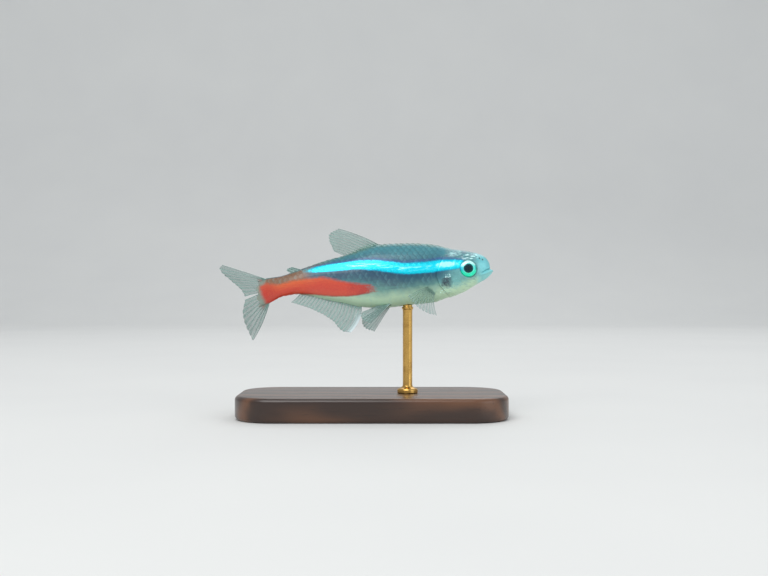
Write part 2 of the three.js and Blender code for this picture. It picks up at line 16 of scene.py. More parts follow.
import bpy
import numpy as np
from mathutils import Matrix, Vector

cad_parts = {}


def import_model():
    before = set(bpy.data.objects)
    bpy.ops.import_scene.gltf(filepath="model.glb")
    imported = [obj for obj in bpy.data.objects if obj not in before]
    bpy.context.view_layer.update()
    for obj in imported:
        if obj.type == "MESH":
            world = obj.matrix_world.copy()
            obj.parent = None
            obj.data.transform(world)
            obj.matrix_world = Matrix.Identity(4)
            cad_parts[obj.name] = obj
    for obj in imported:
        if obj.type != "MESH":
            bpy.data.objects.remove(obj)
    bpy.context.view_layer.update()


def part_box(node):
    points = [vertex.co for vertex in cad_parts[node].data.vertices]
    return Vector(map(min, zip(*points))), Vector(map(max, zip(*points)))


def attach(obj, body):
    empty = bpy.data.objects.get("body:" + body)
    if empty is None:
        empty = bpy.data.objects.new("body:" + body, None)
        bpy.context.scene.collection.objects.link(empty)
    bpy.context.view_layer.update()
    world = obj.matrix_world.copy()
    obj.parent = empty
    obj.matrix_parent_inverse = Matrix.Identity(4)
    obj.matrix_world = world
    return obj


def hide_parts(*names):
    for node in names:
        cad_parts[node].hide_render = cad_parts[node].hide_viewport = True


LOG = logging.getLogger("tetra")
MM = 0.001
Array = np.ndarray
Points = tuple[tuple[float, ...], ...]
Track = Callable[[Array], Array]
Colour = tuple[float, float, float, float]
Link = bpy.types.NodeSocket
Number = Union["Value", float]
BLACK: Colour = (0.0, 0.0, 0.0, 1.0)


class Side(Enum):
    """The fish's own left and right, as the sign of y."""

    RIGHT = -1
    LEFT = 1


def ease(x: Array, low: float, high: float) -> Array:
    """Steps smoothly from 0 at low to 1 at high: t * t * (3 - 2 * t)."""
    t = np.clip((x - low) / (high - low), 0.0, 1.0)
    return t * t * (3.0 - 2.0 * t)


def peak(x: Array, centre: float, width: Union[float, Array]) -> Array:
    """A round bump of height 1 at centre: exp(-((x - centre) / width) ^ 2)."""
    return np.exp(-(((x - centre) / width) ** 2))


@dataclass(frozen=True)
class Roll:
    """A round ridge of the skin, or a groove where its height is negative."""

    height: float
    centre: float
    width: float

    def __call__(self, away: Array) -> Array:
        """The roll's height at a distance: height * exp(-((away - centre) / width) ^ 2)."""
        return self.height * peak(away, self.centre, self.width)


@dataclass(frozen=True)
class Line:
    """A smooth line through (place, value) points that never overshoots them."""

    points: Points

    def __call__(self, at: Array) -> Array:
        """Reads the line as cubics whose slope at a point is the harmonic mean of the rises beside it.

        Args:
            at: places, of any shape.

        Returns:
            The line's value at each place.
        """
        place, value = np.array(self.points, float).T
        rise = np.diff(value) / np.diff(place)
        product = rise[:-1] * rise[1:]
        total = np.where(product > 0, rise[:-1] + rise[1:], 1.0)
        slope = np.concatenate([rise[:1], np.where(product > 0, 2 * product / total, 0.0), rise[-1:]])
        inside = np.clip(at, place[0], place[-1])
        i = np.clip(np.searchsorted(place, inside, side="right") - 1, 0, len(rise) - 1)
        span = place[i + 1] - place[i]
        t = (inside - place[i]) / span
        ends = (2 * t**3 - 3 * t**2 + 1) * value[i] + (3 * t**2 - 2 * t**3) * value[i + 1]
        return ends + span * ((t**3 - 2 * t**2 + t) * slope[i] + (t**3 - t**2) * slope[i + 1])


def track(points: Points, steps: int = 24) -> Track:
    """A round curve through points, read by its length from 0 at the first to 1 at the last.

    Each stretch is a cubic whose pace follows the square root of the distance between its points.

    Args:
        points: the places that the curve passes.
        steps: how many short straight steps stand for the curve between two of them.

    Returns:
        A function from shares of the length to places.
    """
    at = np.array(points, float)
    ends = np.vstack([2 * at[0] - at[1], at, 2 * at[-1] - at[-2]])
    pace = np.sqrt(np.linalg.norm(np.diff(ends, axis=0), axis=1))[:, None]
    t = np.linspace(0, 1, steps, endpoint=False)[:, None]
    pieces = []
    for i in range(len(at) - 1):
        p0, p1, p2, p3 = ends[i : i + 4]
        d0, d1, d2 = pace[i : i + 3]
        m1 = ((p1 - p0) / d0 - (p2 - p0) / (d0 + d1) + (p2 - p1) / d1) * d1
        m2 = ((p2 - p1) / d1 - (p3 - p1) / (d1 + d2) + (p3 - p2) / d2) * d1
        pieces.append(
            p1 + m1 * t + (3 * (p2 - p1) - 2 * m1 - m2) * t**2 + (2 * (p1 - p2) + m1 + m2) * t**3
        )
    curve = np.vstack([*pieces, at[-1:]])
    run = np.concatenate([[0.0], np.cumsum(np.linalg.norm(np.diff(curve, axis=0), axis=1))])
    run /= run[-1]

    def read(share: Array) -> Array:
        """Reads the curve at shares of its length."""
        return np.stack([np.interp(share, run, curve[:, axis]) for axis in range(3)], axis=-1)

    return read


def unit(vectors: Array) -> Array:
    """Scales vectors to length 1."""
    return vectors / np.maximum(np.linalg.norm(vectors, axis=-1, keepdims=True), 1e-12)


@dataclass(frozen=True)
class SwimPose:
    """The swimming pose: takes a point of the straight fish to its place over the stand."""

    head_yaw: float = 3.0
    tail_yaw: float = 27.0
    tail_dip: float = 9.0
    bank: float = 9.0
    pitch: float = 4.2
    neck: float = 8.0
    loin: float = 15.0
    dip_start: float = 23.5
    tail_end: float = 29.2
    anchor: float = 12.0
    anchor_at: tuple[float, float, float] = (2.9, 0.0, 18.0)
    spine_step: float = 0.02
    spine_reach: tuple[float, float] = (-3.0, 45.0)

    def heading(self, s: Array) -> Array:
        """How far the spine has turned left: the square of the way down the tail, then evenly on.

        Args:
            s: stations.

        Returns:
            The angle at each station, in radians.
        """
        u = np.maximum(0.0, (s - self.loin) / (self.tail_end - self.loin))
        turned = np.where(u < 1, u * u, 2 * u - 1)
        return np.radians(self.tail_yaw * turned - self.head_yaw * (1 - ease(s, 0.0, self.neck)))

    def dip(self, s: Array) -> Array:
        """How far the spine has sunk towards the tail fin: half the square of the way, then evenly on.

        Args:
            s: stations.

        Returns:
            The depth at each station.
        """
        reach = self.tail_end - self.dip_start
        u = np.maximum(0.0, (s - self.dip_start) / reach)
        return np.tan(np.radians(self.tail_dip)) * reach * np.where(u < 1, u * u / 2, u - 0.5)

    def spine(self, s: Array) -> tuple[Array, Array]:
        """The spine seen from above: the running sums of minus the cosine and the sine of the heading.

        Args:
            s: stations.

        Returns:
            Its x and its y at each station.
        """
        step = self.spine_step
        at = np.arange(*self.spine_reach, step)
        turn = self.heading(at[:-1] + step / 2)
        x = np.concatenate([[0.0], np.cumsum(-np.cos(turn) * step)])
        y = np.concatenate([[0.0], np.cumsum(np.sin(turn) * step)])
        x -= np.interp(self.anchor, at, x)
        y -= np.interp(self.anchor, at, y)
        return np.interp(s, at, x), np.interp(s, at, y)

    def place(self, points: Array) -> Array:
        """Bends points of the straight fish along the spine, then banks, pitches and lifts them.

        Args:
            points: places in the straight frame, in millimetres.

        Returns:
            Their places in the part's frame, in metres.
        """
        s, side, height = np.moveaxis(np.asarray(points, float), -1, 0)
        turn = self.heading(s)
        x, y = self.spine(s)
        x = x + np.sin(turn) * side
        y = y + np.cos(turn) * side
        z = height - self.dip(s)
        bank, pitch = np.radians(self.bank), np.radians(self.pitch)
        y, z = np.cos(bank) * y + np.sin(bank) * z, np.cos(bank) * z - np.sin(bank) * y
        x, z = np.cos(pitch) * x - np.sin(pitch) * z, np.cos(pitch) * z + np.sin(pitch) * x
        return (np.stack([x, y, z], axis=-1) + np.array(self.anchor_at)) * MM


@dataclass(frozen=True)
class BodyForm:
    """The body without fins: its outline from the side, its half width from above and its section."""

    length: float = 29.2
    front: float = -0.1
    nose_length: float = 1.1
    nose_height: float = 0.15
    nose_settles: float = 2.5
    nose_power: float = 2.4
    back_sharpness: float = 1.22
    back: Line = Line((
        (-0.1, 1.3), (1, 1.8), (1.8, 2.12), (3.2, 2.48), (4.6, 2.78), (6, 3.3), (8, 3.72), (10.5, 3.94),
        (13.5, 4.04), (15.7, 3.6), (17.8, 3.0), (20.1, 2.6), (23.2, 1.86), (25.3, 1.38), (26.8, 1.24),
        (28.2, 1.42), (29.2, 1.5),
    ))
    belly: Line = Line((
        (-0.1, -1.0), (1, -1.6), (2, -2.12), (3.5, -2.88), (6, -3.62), (7.3, -3.94), (10.5, -4.06),
        (12.8, -4.18), (15, -4.06), (16.8, -3.8), (18.4, -3.3), (20.5, -2.7), (22.2, -2.14), (23.7, -1.7),
        (25.2, -1.45), (26.6, -1.45), (28.2, -1.8), (29.2, -1.92),
    ))
    flank: Line = Line((
        (-0.1, 0.75), (1, 1.12), (1.8, 1.4), (2.6, 1.62), (3.6, 1.8), (5, 1.95), (7, 2.08), (9, 2.15),
        (12, 2.1), (15, 1.9), (18, 1.55), (21, 1.17), (24, 0.85), (26.5, 0.66), (29.2, 0.46),
    ))

    def fullness(self, s: Array) -> Array:
        """How full the section is behind the round nose: (1 - (1 - t) ^ power) ^ (1 / power)."""
        t = np.clip((s - self.front) / self.nose_length, 0.0, 1.0)
        return (1 - (1 - t) ** self.nose_power) ** (1 / self.nose_power)

    def middle(self, s: Array) -> Array:
        """The height of the section's middle, which leaves the nose's own height behind the snout."""
        level = (self.back(s) + self.belly(s)) / 2
        return self.nose_height + (level - self.nose_height) * ease(s, self.front, self.nose_settles)

    def point(self, s: Array, angle: Array, grow: Union[float, Array] = 0.0) -> Array:
        """A point of the body: an ellipse whose upper half is drawn in towards the back.

        Args:
            s: stations.
            angle: angles round the section, in radians, from 0 at the fish's left over its back.
            grow: how far outside the form.

        Returns:
            Places in the straight frame.
        """
        up, across = np.sin(angle), np.cos(angle)
        middle = self.middle(s)
        above = self.back(s) - middle
        below = middle - self.belly(s)
        reach = np.where(up > 0, above, below) * self.fullness(s) + grow
        sharp = np.where(up > 0, self.back_sharpness, 1.0)
        out = (self.flank(s) * self.fullness(s) + grow) * np.sign(across) * np.abs(across) ** sharp
        return np.stack(np.broadcast_arrays(s, out, middle + up * reach), axis=-1).astype(float)

    def outward(self, s: Array, angle: Array) -> Array:
        """The direction out of the body's surface: round the section crossed with along the body.

        Args:
            s: stations.
            angle: angles round the section.

        Returns:
            A vector of length 1 for each place.
        """
        step = 0.01
        along = self.point(s + step, angle) - self.point(s - step, angle)
        round_it = self.point(s, angle + step) - self.point(s, angle - step)
        return unit(np.cross(round_it, along))


@dataclass(frozen=True)
class Marks:
    """Where the colours lie. Heights are as a level side view of the banked fish sees them."""

    bank: float = 9.0
    stripe: Line = Line((
        (3.4, 0.72), (4.3, 0.71), (6.2, 0.7), (7.9, 0.59), (10.2, 0.59), (12.4, 0.93), (14.6, 1.34),
        (16.9, 1.53), (19.2, 1.46), (21.5, 1.4), (23.1, 1.37), (25, 1.3),
    ))
    stripe_half: Line = Line((
        (3.4, 0.45), (4.6, 0.62), (7, 0.72), (12, 0.72), (15, 0.66), (17, 0.56), (19.2, 0.5), (21.5, 0.4),
        (23.1, 0.26), (25, 0.15),
    ))
    red_top: Line = Line((
        (14, -1.9), (14.6, -1.45), (15.2, -1.06), (17, -0.7), (19.2, -0.15), (21.5, 0.43), (24.1, 0.4),
        (26.7, 0.25), (28, 0.6), (29, 0.85), (29.8, 0.8),
    ))
    red_bottom: Line = Line((
        (14, -2.0), (15.9, -2.2), (17.7, -2.38), (19.4, -2.3), (21.7, -1.95), (23.7, -1.62), (25, -1.5),
        (27, -1.75), (28.2, -2.2), (29.5, -1.9),
    ))
    gill_edge: Line = Line((
        (-4.6, 4.9), (-3.6, 5.2), (-2.9, 5.9), (-2, 6.6), (-0.9, 6.85), (0.1, 6.55), (1.3, 5.9),
        (2.6, 5.35), (4.6, 4.5),
    ))

    def seen_height(self, points: Array) -> Array:
        """Height in the side view: z * cos(bank) + |y| * sin(bank)."""
        bank = np.radians(self.bank)
        return points[..., 2] * np.cos(bank) + np.abs(points[..., 1]) * np.sin(bank)

    def behind_gill(self, points: Array) -> Array:
        """How far a point lies behind the gill cover's rear edge."""
        return points[..., 0] - self.gill_edge(points[..., 2])

    def fields(self, points: Array, form: BodyForm) -> dict[str, Array]:
        """The smooth fields that the finishes turn into colours.

        Args:
            points: places in the straight frame.
            form: the body that they lie on.

        Returns:
            Each attribute's name with one vector for each point.
        """
        s, seen = points[..., 0], self.seen_height(points)
        middle = form.middle(s)
        up = points[..., 2] - middle
        level = up / np.where(up > 0, form.back(s) - middle, middle - form.belly(s))
        stripe = (seen - self.stripe(s)) / self.stripe_half(s)
        return {
            "place": np.stack([s, np.abs(points[..., 1]), seen], axis=-1),
            "marks": np.stack([stripe, self.red_top(s) - seen, seen - self.red_bottom(s)], axis=-1),
            "form": np.stack([level, self.behind_gill(points), np.sign(points[..., 1])], axis=-1),
        }


def grid_faces(rows: int, columns: int, round_it: bool = False) -> Array:
    """The quads of a grid whose points are numbered row by row.

    Args:
        rows: points along the grid.
        columns: points across it.
        round_it: whether the last column joins the first.

    Returns:
        Four point numbers for each quad.
    """
    row = np.arange(rows - 1)[:, None] * columns
    column = np.arange(columns if round_it else columns - 1)[None, :]
    after = (column + 1) % columns
    quads = [row + column, row + after, row + columns + after, row + columns + column]
    return np.stack([np.broadcast_to(q, (rows - 1, column.size)) for q in quads], axis=-1).reshape(-1, 4)


def fan_faces(ring: Array, tip: int) -> Array:
    """Triangles that close a ring of points to a tip."""
    return np.stack([ring, np.roll(ring, -1), np.full(ring.shape, tip)], axis=-1)


def capped_faces(rings: int, sides: int) -> list[Array]:
    """The faces of a row of rings that a fan closes at each end, to two tips numbered after the rings.

    Args:
        rings: how many rings there are.
        sides: how many points each has.

    Returns:
        The quads between the rings and the triangles of both fans.
    """
    ring, tip = np.arange(sides), rings * sides
    return [
        grid_faces(rings, sides, round_it=True),
        fan_faces(ring, tip)[:, ::-1],
        fan_faces(ring + tip - sides, tip + 1),
    ]


def slab_faces(rows: int, columns: int) -> Array:
    """The quads of a thin closed slab: an upper grid, a lower one turned over and the rim between them.

    Args:
        rows: points along each grid.
        columns: points across it.

    Returns:
        Four point numbers for each quad.
    """
    upper, size = grid_faces(rows, columns), rows * columns
    number = np.arange(size).reshape(rows, columns)
    border = np.concatenate([number[0, :-1], number[:-1, -1], number[-1, :0:-1], number[:0:-1, 0]])
    after = np.roll(border, -1)
    rim = np.stack([after, border, border + size, after + size], axis=-1)
    return np.concatenate([upper, upper[:, ::-1] + size, rim])


@dataclass
class Piece:
    """The points, faces and fields of a mesh that is on its way into Blender."""

    points: Array
    faces: list[Array]
    fields: dict[str, Array]
    bake_map: Union[Array, None] = None

    def make(self, name: str, material: bpy.types.Material) -> bpy.types.Object:
        """Makes the mesh object, with smooth outward faces and the fields as point attributes.

        Args:
            name: the piece's name.
            material: its finish.

        Returns:
            The object, at the origin.
        """
        mesh = bpy.data.meshes.new(name)
        faces = [face for block in self.faces for face in block.tolist()]
        mesh.from_pydata(self.points.reshape(-1, 3), [], faces)
        for field, values in self.fields.items():
            attribute = mesh.attributes.new(field, "FLOAT_VECTOR", "POINT")
            attribute.data.foreach_set("vector", values.reshape(-1).astype(np.float32))
        if self.bake_map is not None:
            corners = np.empty(len(mesh.loops), np.int32)
            mesh.loops.foreach_get("vertex_index", corners)
            layer = mesh.uv_layers.new(name="OFBake")
            layer.uv.foreach_set("vector", self.bake_map.reshape(-1, 2)[corners].reshape(-1))
        mesh.polygons.foreach_set("use_smooth", np.full(len(mesh.polygons), True))
        mesh.update()
        mesh.materials.append(material)
        thing = bpy.data.objects.new(name, mesh)
        bpy.context.scene.collection.objects.link(thing)
        self.turn_outward(mesh)
        return thing

    @staticmethod
    def turn_outward(mesh: bpy.types.Mesh) -> None:
        """Flips all faces if the mesh's signed volume is negative: the sum of p0 . (p1 x p2) / 6.

        Args:
            mesh: the closed mesh.
        """
        mesh.calc_loop_triangles()
        corners = np.empty(len(mesh.loop_triangles) * 3, np.int32)
        mesh.loop_triangles.foreach_get("vertices", corners)
        places = np.empty(len(mesh.vertices) * 3)
        mesh.vertices.foreach_get("co", places)
        a, b, c = np.moveaxis(places.reshape(-1, 3)[corners.reshape(-1, 3)], 1, 0)
        if np.einsum("ij,ij->", a, np.cross(b, c)) < 0:
            mesh.flip_normals()


def srgb(red: int, green: int, blue: int) -> Colour:
    """Turns a colour as a screen shows it into the linear colour that shaders use.

    Args:
        red: from 0 to 255.
        green: from 0 to 255.
        blue: from 0 to 255.

    Returns:
        The linear colour, not transparent.
    """
    share = np.array([red, green, blue]) / 255
    linear = np.where(share <= 0.04045, share / 12.92, ((share + 0.055) / 1.055) ** 2.4)
    return (*linear.tolist(), 1.0)


def joined(operation: str, swapped: bool = False) -> Callable[..., "Value"]:
    """Makes a method of Value that adds one Math node.

    Args:
        operation: the Math node's operation.
        swapped: whether the other number comes first.

    Returns:
        The method, which takes the other number if the operation has one.
    """
    return lambda value, *others: value.maths(operation, *others, swapped=swapped)


@dataclass(frozen=True)
class Value:
    """A number inside a material, on which ordinary maths adds Math nodes."""

    shading: "Shading"
    socket: Link

    def maths(self, operation: str, *others: Number, swapped: bool = False) -> "Value":
        """Joins this number with others in one Math node.

        Args:
            operation: the Math node's operation.
            others: the other numbers.
            swapped: whether the other number comes first.

        Returns:
            The node's result.
        """
        values = [*others, self] if swapped else [self, *others]
        node = self.shading.node("ShaderNodeMath", {"operation": operation}, dict(enumerate(values)))
        return Value(self.shading, node.outputs[0])

    __add__ = __radd__ = joined("ADD")
    __mul__ = __rmul__ = joined("MULTIPLY")
    __sub__ = joined("SUBTRACT")
    __rsub__ = joined("SUBTRACT", swapped=True)
    __truediv__ = joined("DIVIDE")
    __pow__ = joined("POWER")
    __abs__ = joined("ABSOLUTE")
    sine = joined("SINE")
    least = joined("MINIMUM")
    most = joined("MAXIMUM")

    def ease(self, low: float, high: float) -> "Value":
        """A smooth step, which falls where high is the lower one.

        Args:
            low: where it is 0.
            high: where it is 1.

        Returns:
            The step.
        """
        rising = high > low
        ends = (low, high) if rising else (high, low)
        inputs = {"Value": self, "From Min": ends[0], "From Max": ends[1], "To Min": 0.0, "To Max": 1.0}
        node = self.shading.node("ShaderNodeMapRange", {"interpolation_type": "SMOOTHSTEP"}, inputs)
        step = Value(self.shading, node.outputs[0])
        return step if rising else 1.0 - step


class Shading:
    """Builds one node material."""

    def __init__(self, name: str) -> None:
        """Starts an empty material.

        Args:
            name: the material's name.
        """
        self.material = bpy.data.materials.new(name)
        self.material.use_nodes = True
        self.tree = self.material.node_tree
        self.tree.nodes.clear()

    def node(self, kind: str, settings: dict, inputs: dict) -> bpy.types.Node:
        """Adds any node.

        Args:
            kind: the node's type.
            settings: its properties, and the stops of a ramp as (place, colour) pairs.
            inputs: values or links, by socket name or number.

        Returns:
            The node.
        """
        node = self.tree.nodes.new(kind)
        for key, setting in settings.items():
            if key == "stops":
                self.set_stops(node.color_ramp.elements, setting)
            else:
                setattr(node, key, setting)
        for key, value in inputs.items():
            if isinstance(value, Value):
                self.tree.links.new(value.socket, node.inputs[key])
            elif isinstance(value, Link):
                self.tree.links.new(value, node.inputs[key])
            else:
                node.inputs[key].default_value = value
        return node

    @staticmethod
    def set_stops(elements: bpy.types.bpy_prop_collection, stops: list[tuple[float, Colour]]) -> None:
        """Gives a colour ramp its stops.

        Args:
            elements: the ramp's own stops.
            stops: a place and a colour for each.
        """
        while len(elements) < len(stops):
            elements.new(1.0)
        for element, (place, colour) in zip(elements, stops):
            element.position = place
            element.color = colour

    def vector(self, name: str) -> Link:
        """A point attribute as a vector."""
        return self.node("ShaderNodeAttribute", {"attribute_name": name}, {}).outputs["Vector"]

    def parts(self, vector: Link) -> tuple[Value, Value, Value]:
        """The three numbers of a vector."""
        node = self.node("ShaderNodeSeparateXYZ", {}, {0: vector})
        return tuple(Value(self, node.outputs[i]) for i in range(3))

    def field(self, name: str) -> tuple[Value, Value, Value]:
        """The three numbers of a point attribute."""
        return self.parts(self.vector(name))

    def own_place(self) -> Link:
        """Object coordinates."""
        return self.node("ShaderNodeTexCoord", {}, {}).outputs["Object"]

    def stretched(self, vector: Link, scale: tuple[float, float, float]) -> Link:
        """Multiplies a vector by a scale for each axis."""
        inputs = {0: vector, 1: scale}
        return self.node("ShaderNodeVectorMath", {"operation": "MULTIPLY"}, inputs).outputs[0]

    def noise(self, vector: Link, scale: float, detail: float = 2.0, rough: float = 0.5) -> Value:
        """Smooth noise about 0, from -0.5 to 0.5."""
        inputs = {"Vector": vector, "Scale": scale, "Detail": detail, "Roughness": rough}
        return Value(self, self.node("ShaderNodeTexNoise", {}, inputs).outputs[0]) - 0.5

    def cells(self, vector: Link, scale: float) -> Value:
        """The distance to the nearest of many scattered dots."""
        node = self.node("ShaderNodeTexVoronoi", {}, {"Vector": vector, "Scale": scale})
        return Value(self, node.outputs["Distance"])

    def ramp(self, at: Value, stops: list[tuple[float, Colour]]) -> Link:
        """A colour read from a ramp."""
        return self.node("ShaderNodeValToRGB", {"stops": stops}, {0: at}).outputs[0]

    def mix(self, low: Union[Colour, Link], high: Union[Colour, Link], share: Number) -> Link:
        """Mixes two colours."""
        settings = {"data_type": "RGBA", "blend_type": "MIX", "clamp_factor": True}
        return self.node("ShaderNodeMix", settings, {0: share, 6: low, 7: high}).outputs[2]

    def bump(self, height: Value, strength: float, distance: float) -> Link:
        """A normal that follows a height, whose whole range is distance metres."""
        inputs = {"Strength": strength, "Distance": distance, "Height": height}
        return self.node("ShaderNodeBump", {}, inputs).outputs[0]

    def finish(self, **inputs: object) -> bpy.types.Material:
        """Ends the material in a Principled shader.

        Args:
            inputs: the shader's sockets, with underscores for spaces.

        Returns:
            The material.
        """
        named = {key.replace("_", " "): value for key, value in inputs.items()}
        shader = self.node("ShaderNodeBsdfPrincipled", {}, named)
        return self.end(shader.outputs[0])

    def end(self, surface: Link) -> bpy.types.Material:
        """Sends a shader to the material's output."""
        self.node("ShaderNodeOutputMaterial", {"target": "ALL"}, {"Surface": surface})
        return self.material


class SkinShading(Shading):
    """A material that knows where on the body each of its places lies. Lengths are in millimetres.

    s runs backwards from the lip and seen is the height in the side view. stripe is the height over the
    stripe's middle in half stripe widths, and under_top and over_bottom are the distances inside the red.
    level runs from -1 at the belly to 1 at the back, and behind_gill is the way behind the gill cover's edge.
    """

    def __init__(self, name: str) -> None:
        """Starts the material and reads the fields and noises that its colours share.

        Args:
            name: the material's name.
        """
        super().__init__(name)
        self.s, _, self.seen = self.field("place")
        self.stripe, self.under_top, self.over_bottom = self.field("marks")
        self.level, self.behind_gill, _ = self.field("form")
        self.place = self.vector("place")
        self.cloud = self.noise(self.place, 0.9, 3.0)
        self.grain = self.noise(self.place, 5.0, 3.0)
        self.waver = self.noise(self.place, 2.6, 2.0)
        self.streak = self.noise(self.stretched(self.place, (0.8, 3.0, 7.0)), 1.0, 4.0, 0.6)
        self.on_head = self.behind_gill.ease(0.2, -0.3)

    def spot(self, station: float, height: float, long: float, tall: float) -> Value:
        """A soft patch of the side view with a wavering rim: 1 in its middle and 0 past its rim.

        Args:
            station: the patch's middle, from the lip.
            height: the same, as the side view sees it.
            long: its half length.
            tall: its half height.

        Returns:
            The patch's strength.
        """
        across = (self.s - station) / long
        up = (self.seen - height) / tall
        return (across * across + up * up + self.waver * 1.3).ease(1.0, 0.2)

    def pit(self, station: float, height: float) -> Value:
        """The painted shade inside a nostril: 1 within it and 0 outside, from the squared distance."""
        across, up = self.s - station, self.seen - height
        return (across * across + up * up).ease(0.018, 0.004)


@dataclass(frozen=True)
class HideFinish:
    """Moist, silvery skin with the blue stripe and the red rear half. Skin and scales wear it alike.

    The two numbers in each ease are where a mark has faded out and where it is full.
    """

    belly: Colour = srgb(196, 228, 194)
    low_flank: Colour = srgb(106, 158, 150)
    flank: Colour = srgb(84, 140, 142)
    high_flank: Colour = srgb(66, 132, 144)
    back: Colour = srgb(68, 140, 152)
    # a greener tone along the back's thin edge: partly its own colour and partly painted rim light
    ridge: Colour = srgb(88, 134, 120)
    under_stripe: Colour = srgb(12, 72, 102)
    plum: Colour = srgb(66, 78, 108)
    stripe_edge: Colour = srgb(0, 126, 176)
    stripe: Colour = srgb(0, 212, 234)
    # the near-white of the stripe's painted highlight streaks
    stripe_highlight_colour: Colour = srgb(170, 252, 255)
    violet: Colour = srgb(48, 72, 160)
    crimson: Colour = srgb(188, 42, 44)
    red: Colour = srgb(226, 62, 42)
    orange: Colour = srgb(236, 106, 60)
    deep_red: Colour = srgb(128, 20, 22)
    brown: Colour = srgb(146, 100, 64)
    tail_base: Colour = srgb(140, 158, 146)
    snout: Colour = srgb(124, 212, 220)
    crown: Colour = srgb(88, 146, 150)
    rose: Colour = srgb(140, 118, 150)
    silver: Colour = srgb(128, 196, 196)
    highlight_colour: Colour = srgb(214, 255, 255)
    # the near-white of the head's painted highlights
    smudge: Colour = srgb(46, 54, 70)
    melanin: Colour = srgb(34, 46, 54)
    flesh_glow: float = 0.18
    flesh_depth: tuple[float, float, float] = (1.0, 0.75, 0.6)
    flesh_scale: float = 0.0005
    roughness: float = 0.34
    slime: float = 0.35
    slime_roughness: float = 0.14
    ior: float = 1.42
    # strength of the emission that paints a glow onto the stripe and the head's highlights
    painted_glow: float = 0.4
    bump_height: float = 0.00003

    def ground(self, skin: SkinShading) -> Link:
        """The skin's colours from the pale belly over the flank to the back's rim, with the head's own.

        Args:
            skin: the material.

        Returns:
            The colour.
        """
        stops = [
            (0.0, self.belly), (0.12, self.belly), (0.26, self.low_flank), (0.42, self.flank),
            (0.6, self.high_flank), (0.92, self.back), (1.0, self.ridge),
        ]
        colour = skin.ramp(skin.level * 0.5 + 0.5 + skin.cloud * 0.12, stops)
        waves = ((skin.s + abs(skin.seen - 0.4) * 0.9) * 7.4).sine()
        muscle = waves * skin.level.ease(-0.5, 0.3) * (skin.cloud + 0.6)
        colour = skin.mix(colour, self.melanin, muscle.most(0.0) * 0.1)
        on_top = skin.seen.ease(0.5, 1.6)
        mottle = skin.noise(skin.stretched(skin.place, (1.0, 1.0, 1.8)), 2.2, 4.0, 0.65)
        colour = skin.mix(colour, self.crown, skin.on_head * on_top * 0.8)
        rosy = mottle.ease(-0.05, 0.2) * skin.s.ease(1.2, 2.4)
        colour = skin.mix(colour, self.rose, skin.on_head * on_top * rosy * 0.45)
        bright = skin.on_head * (1.0 - on_top) * (skin.level + mottle * 1.4).ease(-0.95, -0.2)
        colour = skin.mix(colour, self.silver, bright * 0.6)
        colour = skin.mix(colour, self.plum, skin.on_head * mottle.ease(0.02, 0.22) * 0.35)
        return skin.mix(colour, self.snout, (skin.s + mottle * 1.2).ease(2.3, 0.9) * 0.75)

    def shadows(self, skin: SkinShading, ground: Link) -> Link:
        """The steel blue below and above the stripe, its purple clouds, and the brown above the red.

        Args:
            skin: the material.
            ground: the colour below.

        Returns:
            The colour.
        """
        s, stripe, cloud, streak = skin.s, skin.stripe, skin.cloud, skin.streak
        below = (stripe + cloud * 1.6).ease(-4.0, -1.2) * stripe.ease(0.3, -0.6) * s.ease(3.8, 6.8)
        colour = skin.mix(ground, self.under_stripe, below * 0.85)
        plum = abs(stripe + streak * 2.0 + 2.6).ease(2.0, 0.2) * s.ease(9.0, 13.0)
        colour = skin.mix(colour, self.plum, plum * (streak * 2.0 + 0.7) * 0.6)
        above = (stripe + cloud * 1.5).ease(3.0, 1.0) * stripe.ease(0.4, 1.0)
        colour = skin.mix(colour, self.under_stripe, above * skin.behind_gill.ease(-0.3, 0.4) * 0.45)
        brown = (stripe + cloud).ease(-0.2, 1.2).most(s.ease(22.0, 24.0)) * s.ease(19.5, 23.0)
        colour = skin.mix(colour, self.brown, brown * 0.9 * skin.level.ease(1.0, 0.8))
        return skin.mix(colour, self.tail_base, (s + cloud).ease(28.7, 29.3) * 0.8)

    def redness(self, skin: SkinShading, ground: Link) -> tuple[Link, Value]:
        """The red rear half: crimson in front, orange along its top and rimmed with dark red below.

        Args:
            skin: the material.
            ground: the colour below.

        Returns:
            The colour, and how red each place is.
        """
        s, cloud, grain, streak = skin.s, skin.cloud, skin.grain, skin.streak
        ragged = grain * 0.3 + streak * 0.5
        below_top = (skin.under_top + ragged).ease(-0.2, 0.34)
        between = below_top * (skin.over_bottom + ragged * 0.4).ease(-0.1, 0.16)
        start = (s + streak * 3.0 + grain * 1.6).ease(14.0, 15.7)
        end = (s - skin.seen * 0.35 + streak * 0.6 + grain * 0.6).ease(29.95, 29.2)
        red = between * start * end
        top = (skin.under_top + streak * 1.5).ease(1.3, 0.1) * s.ease(17.0, 24.0)
        warm = skin.mix(self.red, self.orange, top.most((cloud + grain).ease(0.0, 0.5) * 0.5))
        at_ends = (s + cloud * 4.0).ease(19.0, 15.5).most(s.ease(26.4, 28.2) * 0.6)
        warm = skin.mix(warm, self.crimson, at_ends * 0.8)
        warm = skin.mix(warm, self.low_flank, (streak * 2.2).ease(0.25, 0.9) * 0.35)
        lower_rim = skin.over_bottom.ease(0.3, 0.02) * s.ease(26.5, 24.0)
        warm = skin.mix(warm, self.deep_red, lower_rim * 0.7)
        pigment = skin.cells(skin.place, 11.0)
        warm = skin.mix(warm, self.deep_red, pigment.ease(0.3, 0.1) * (grain + 0.5) * 0.4)
        warm = skin.mix(warm, self.orange, pigment.ease(0.5, 0.8) * 0.3)
        return skin.mix(ground, warm, red * 0.95), red

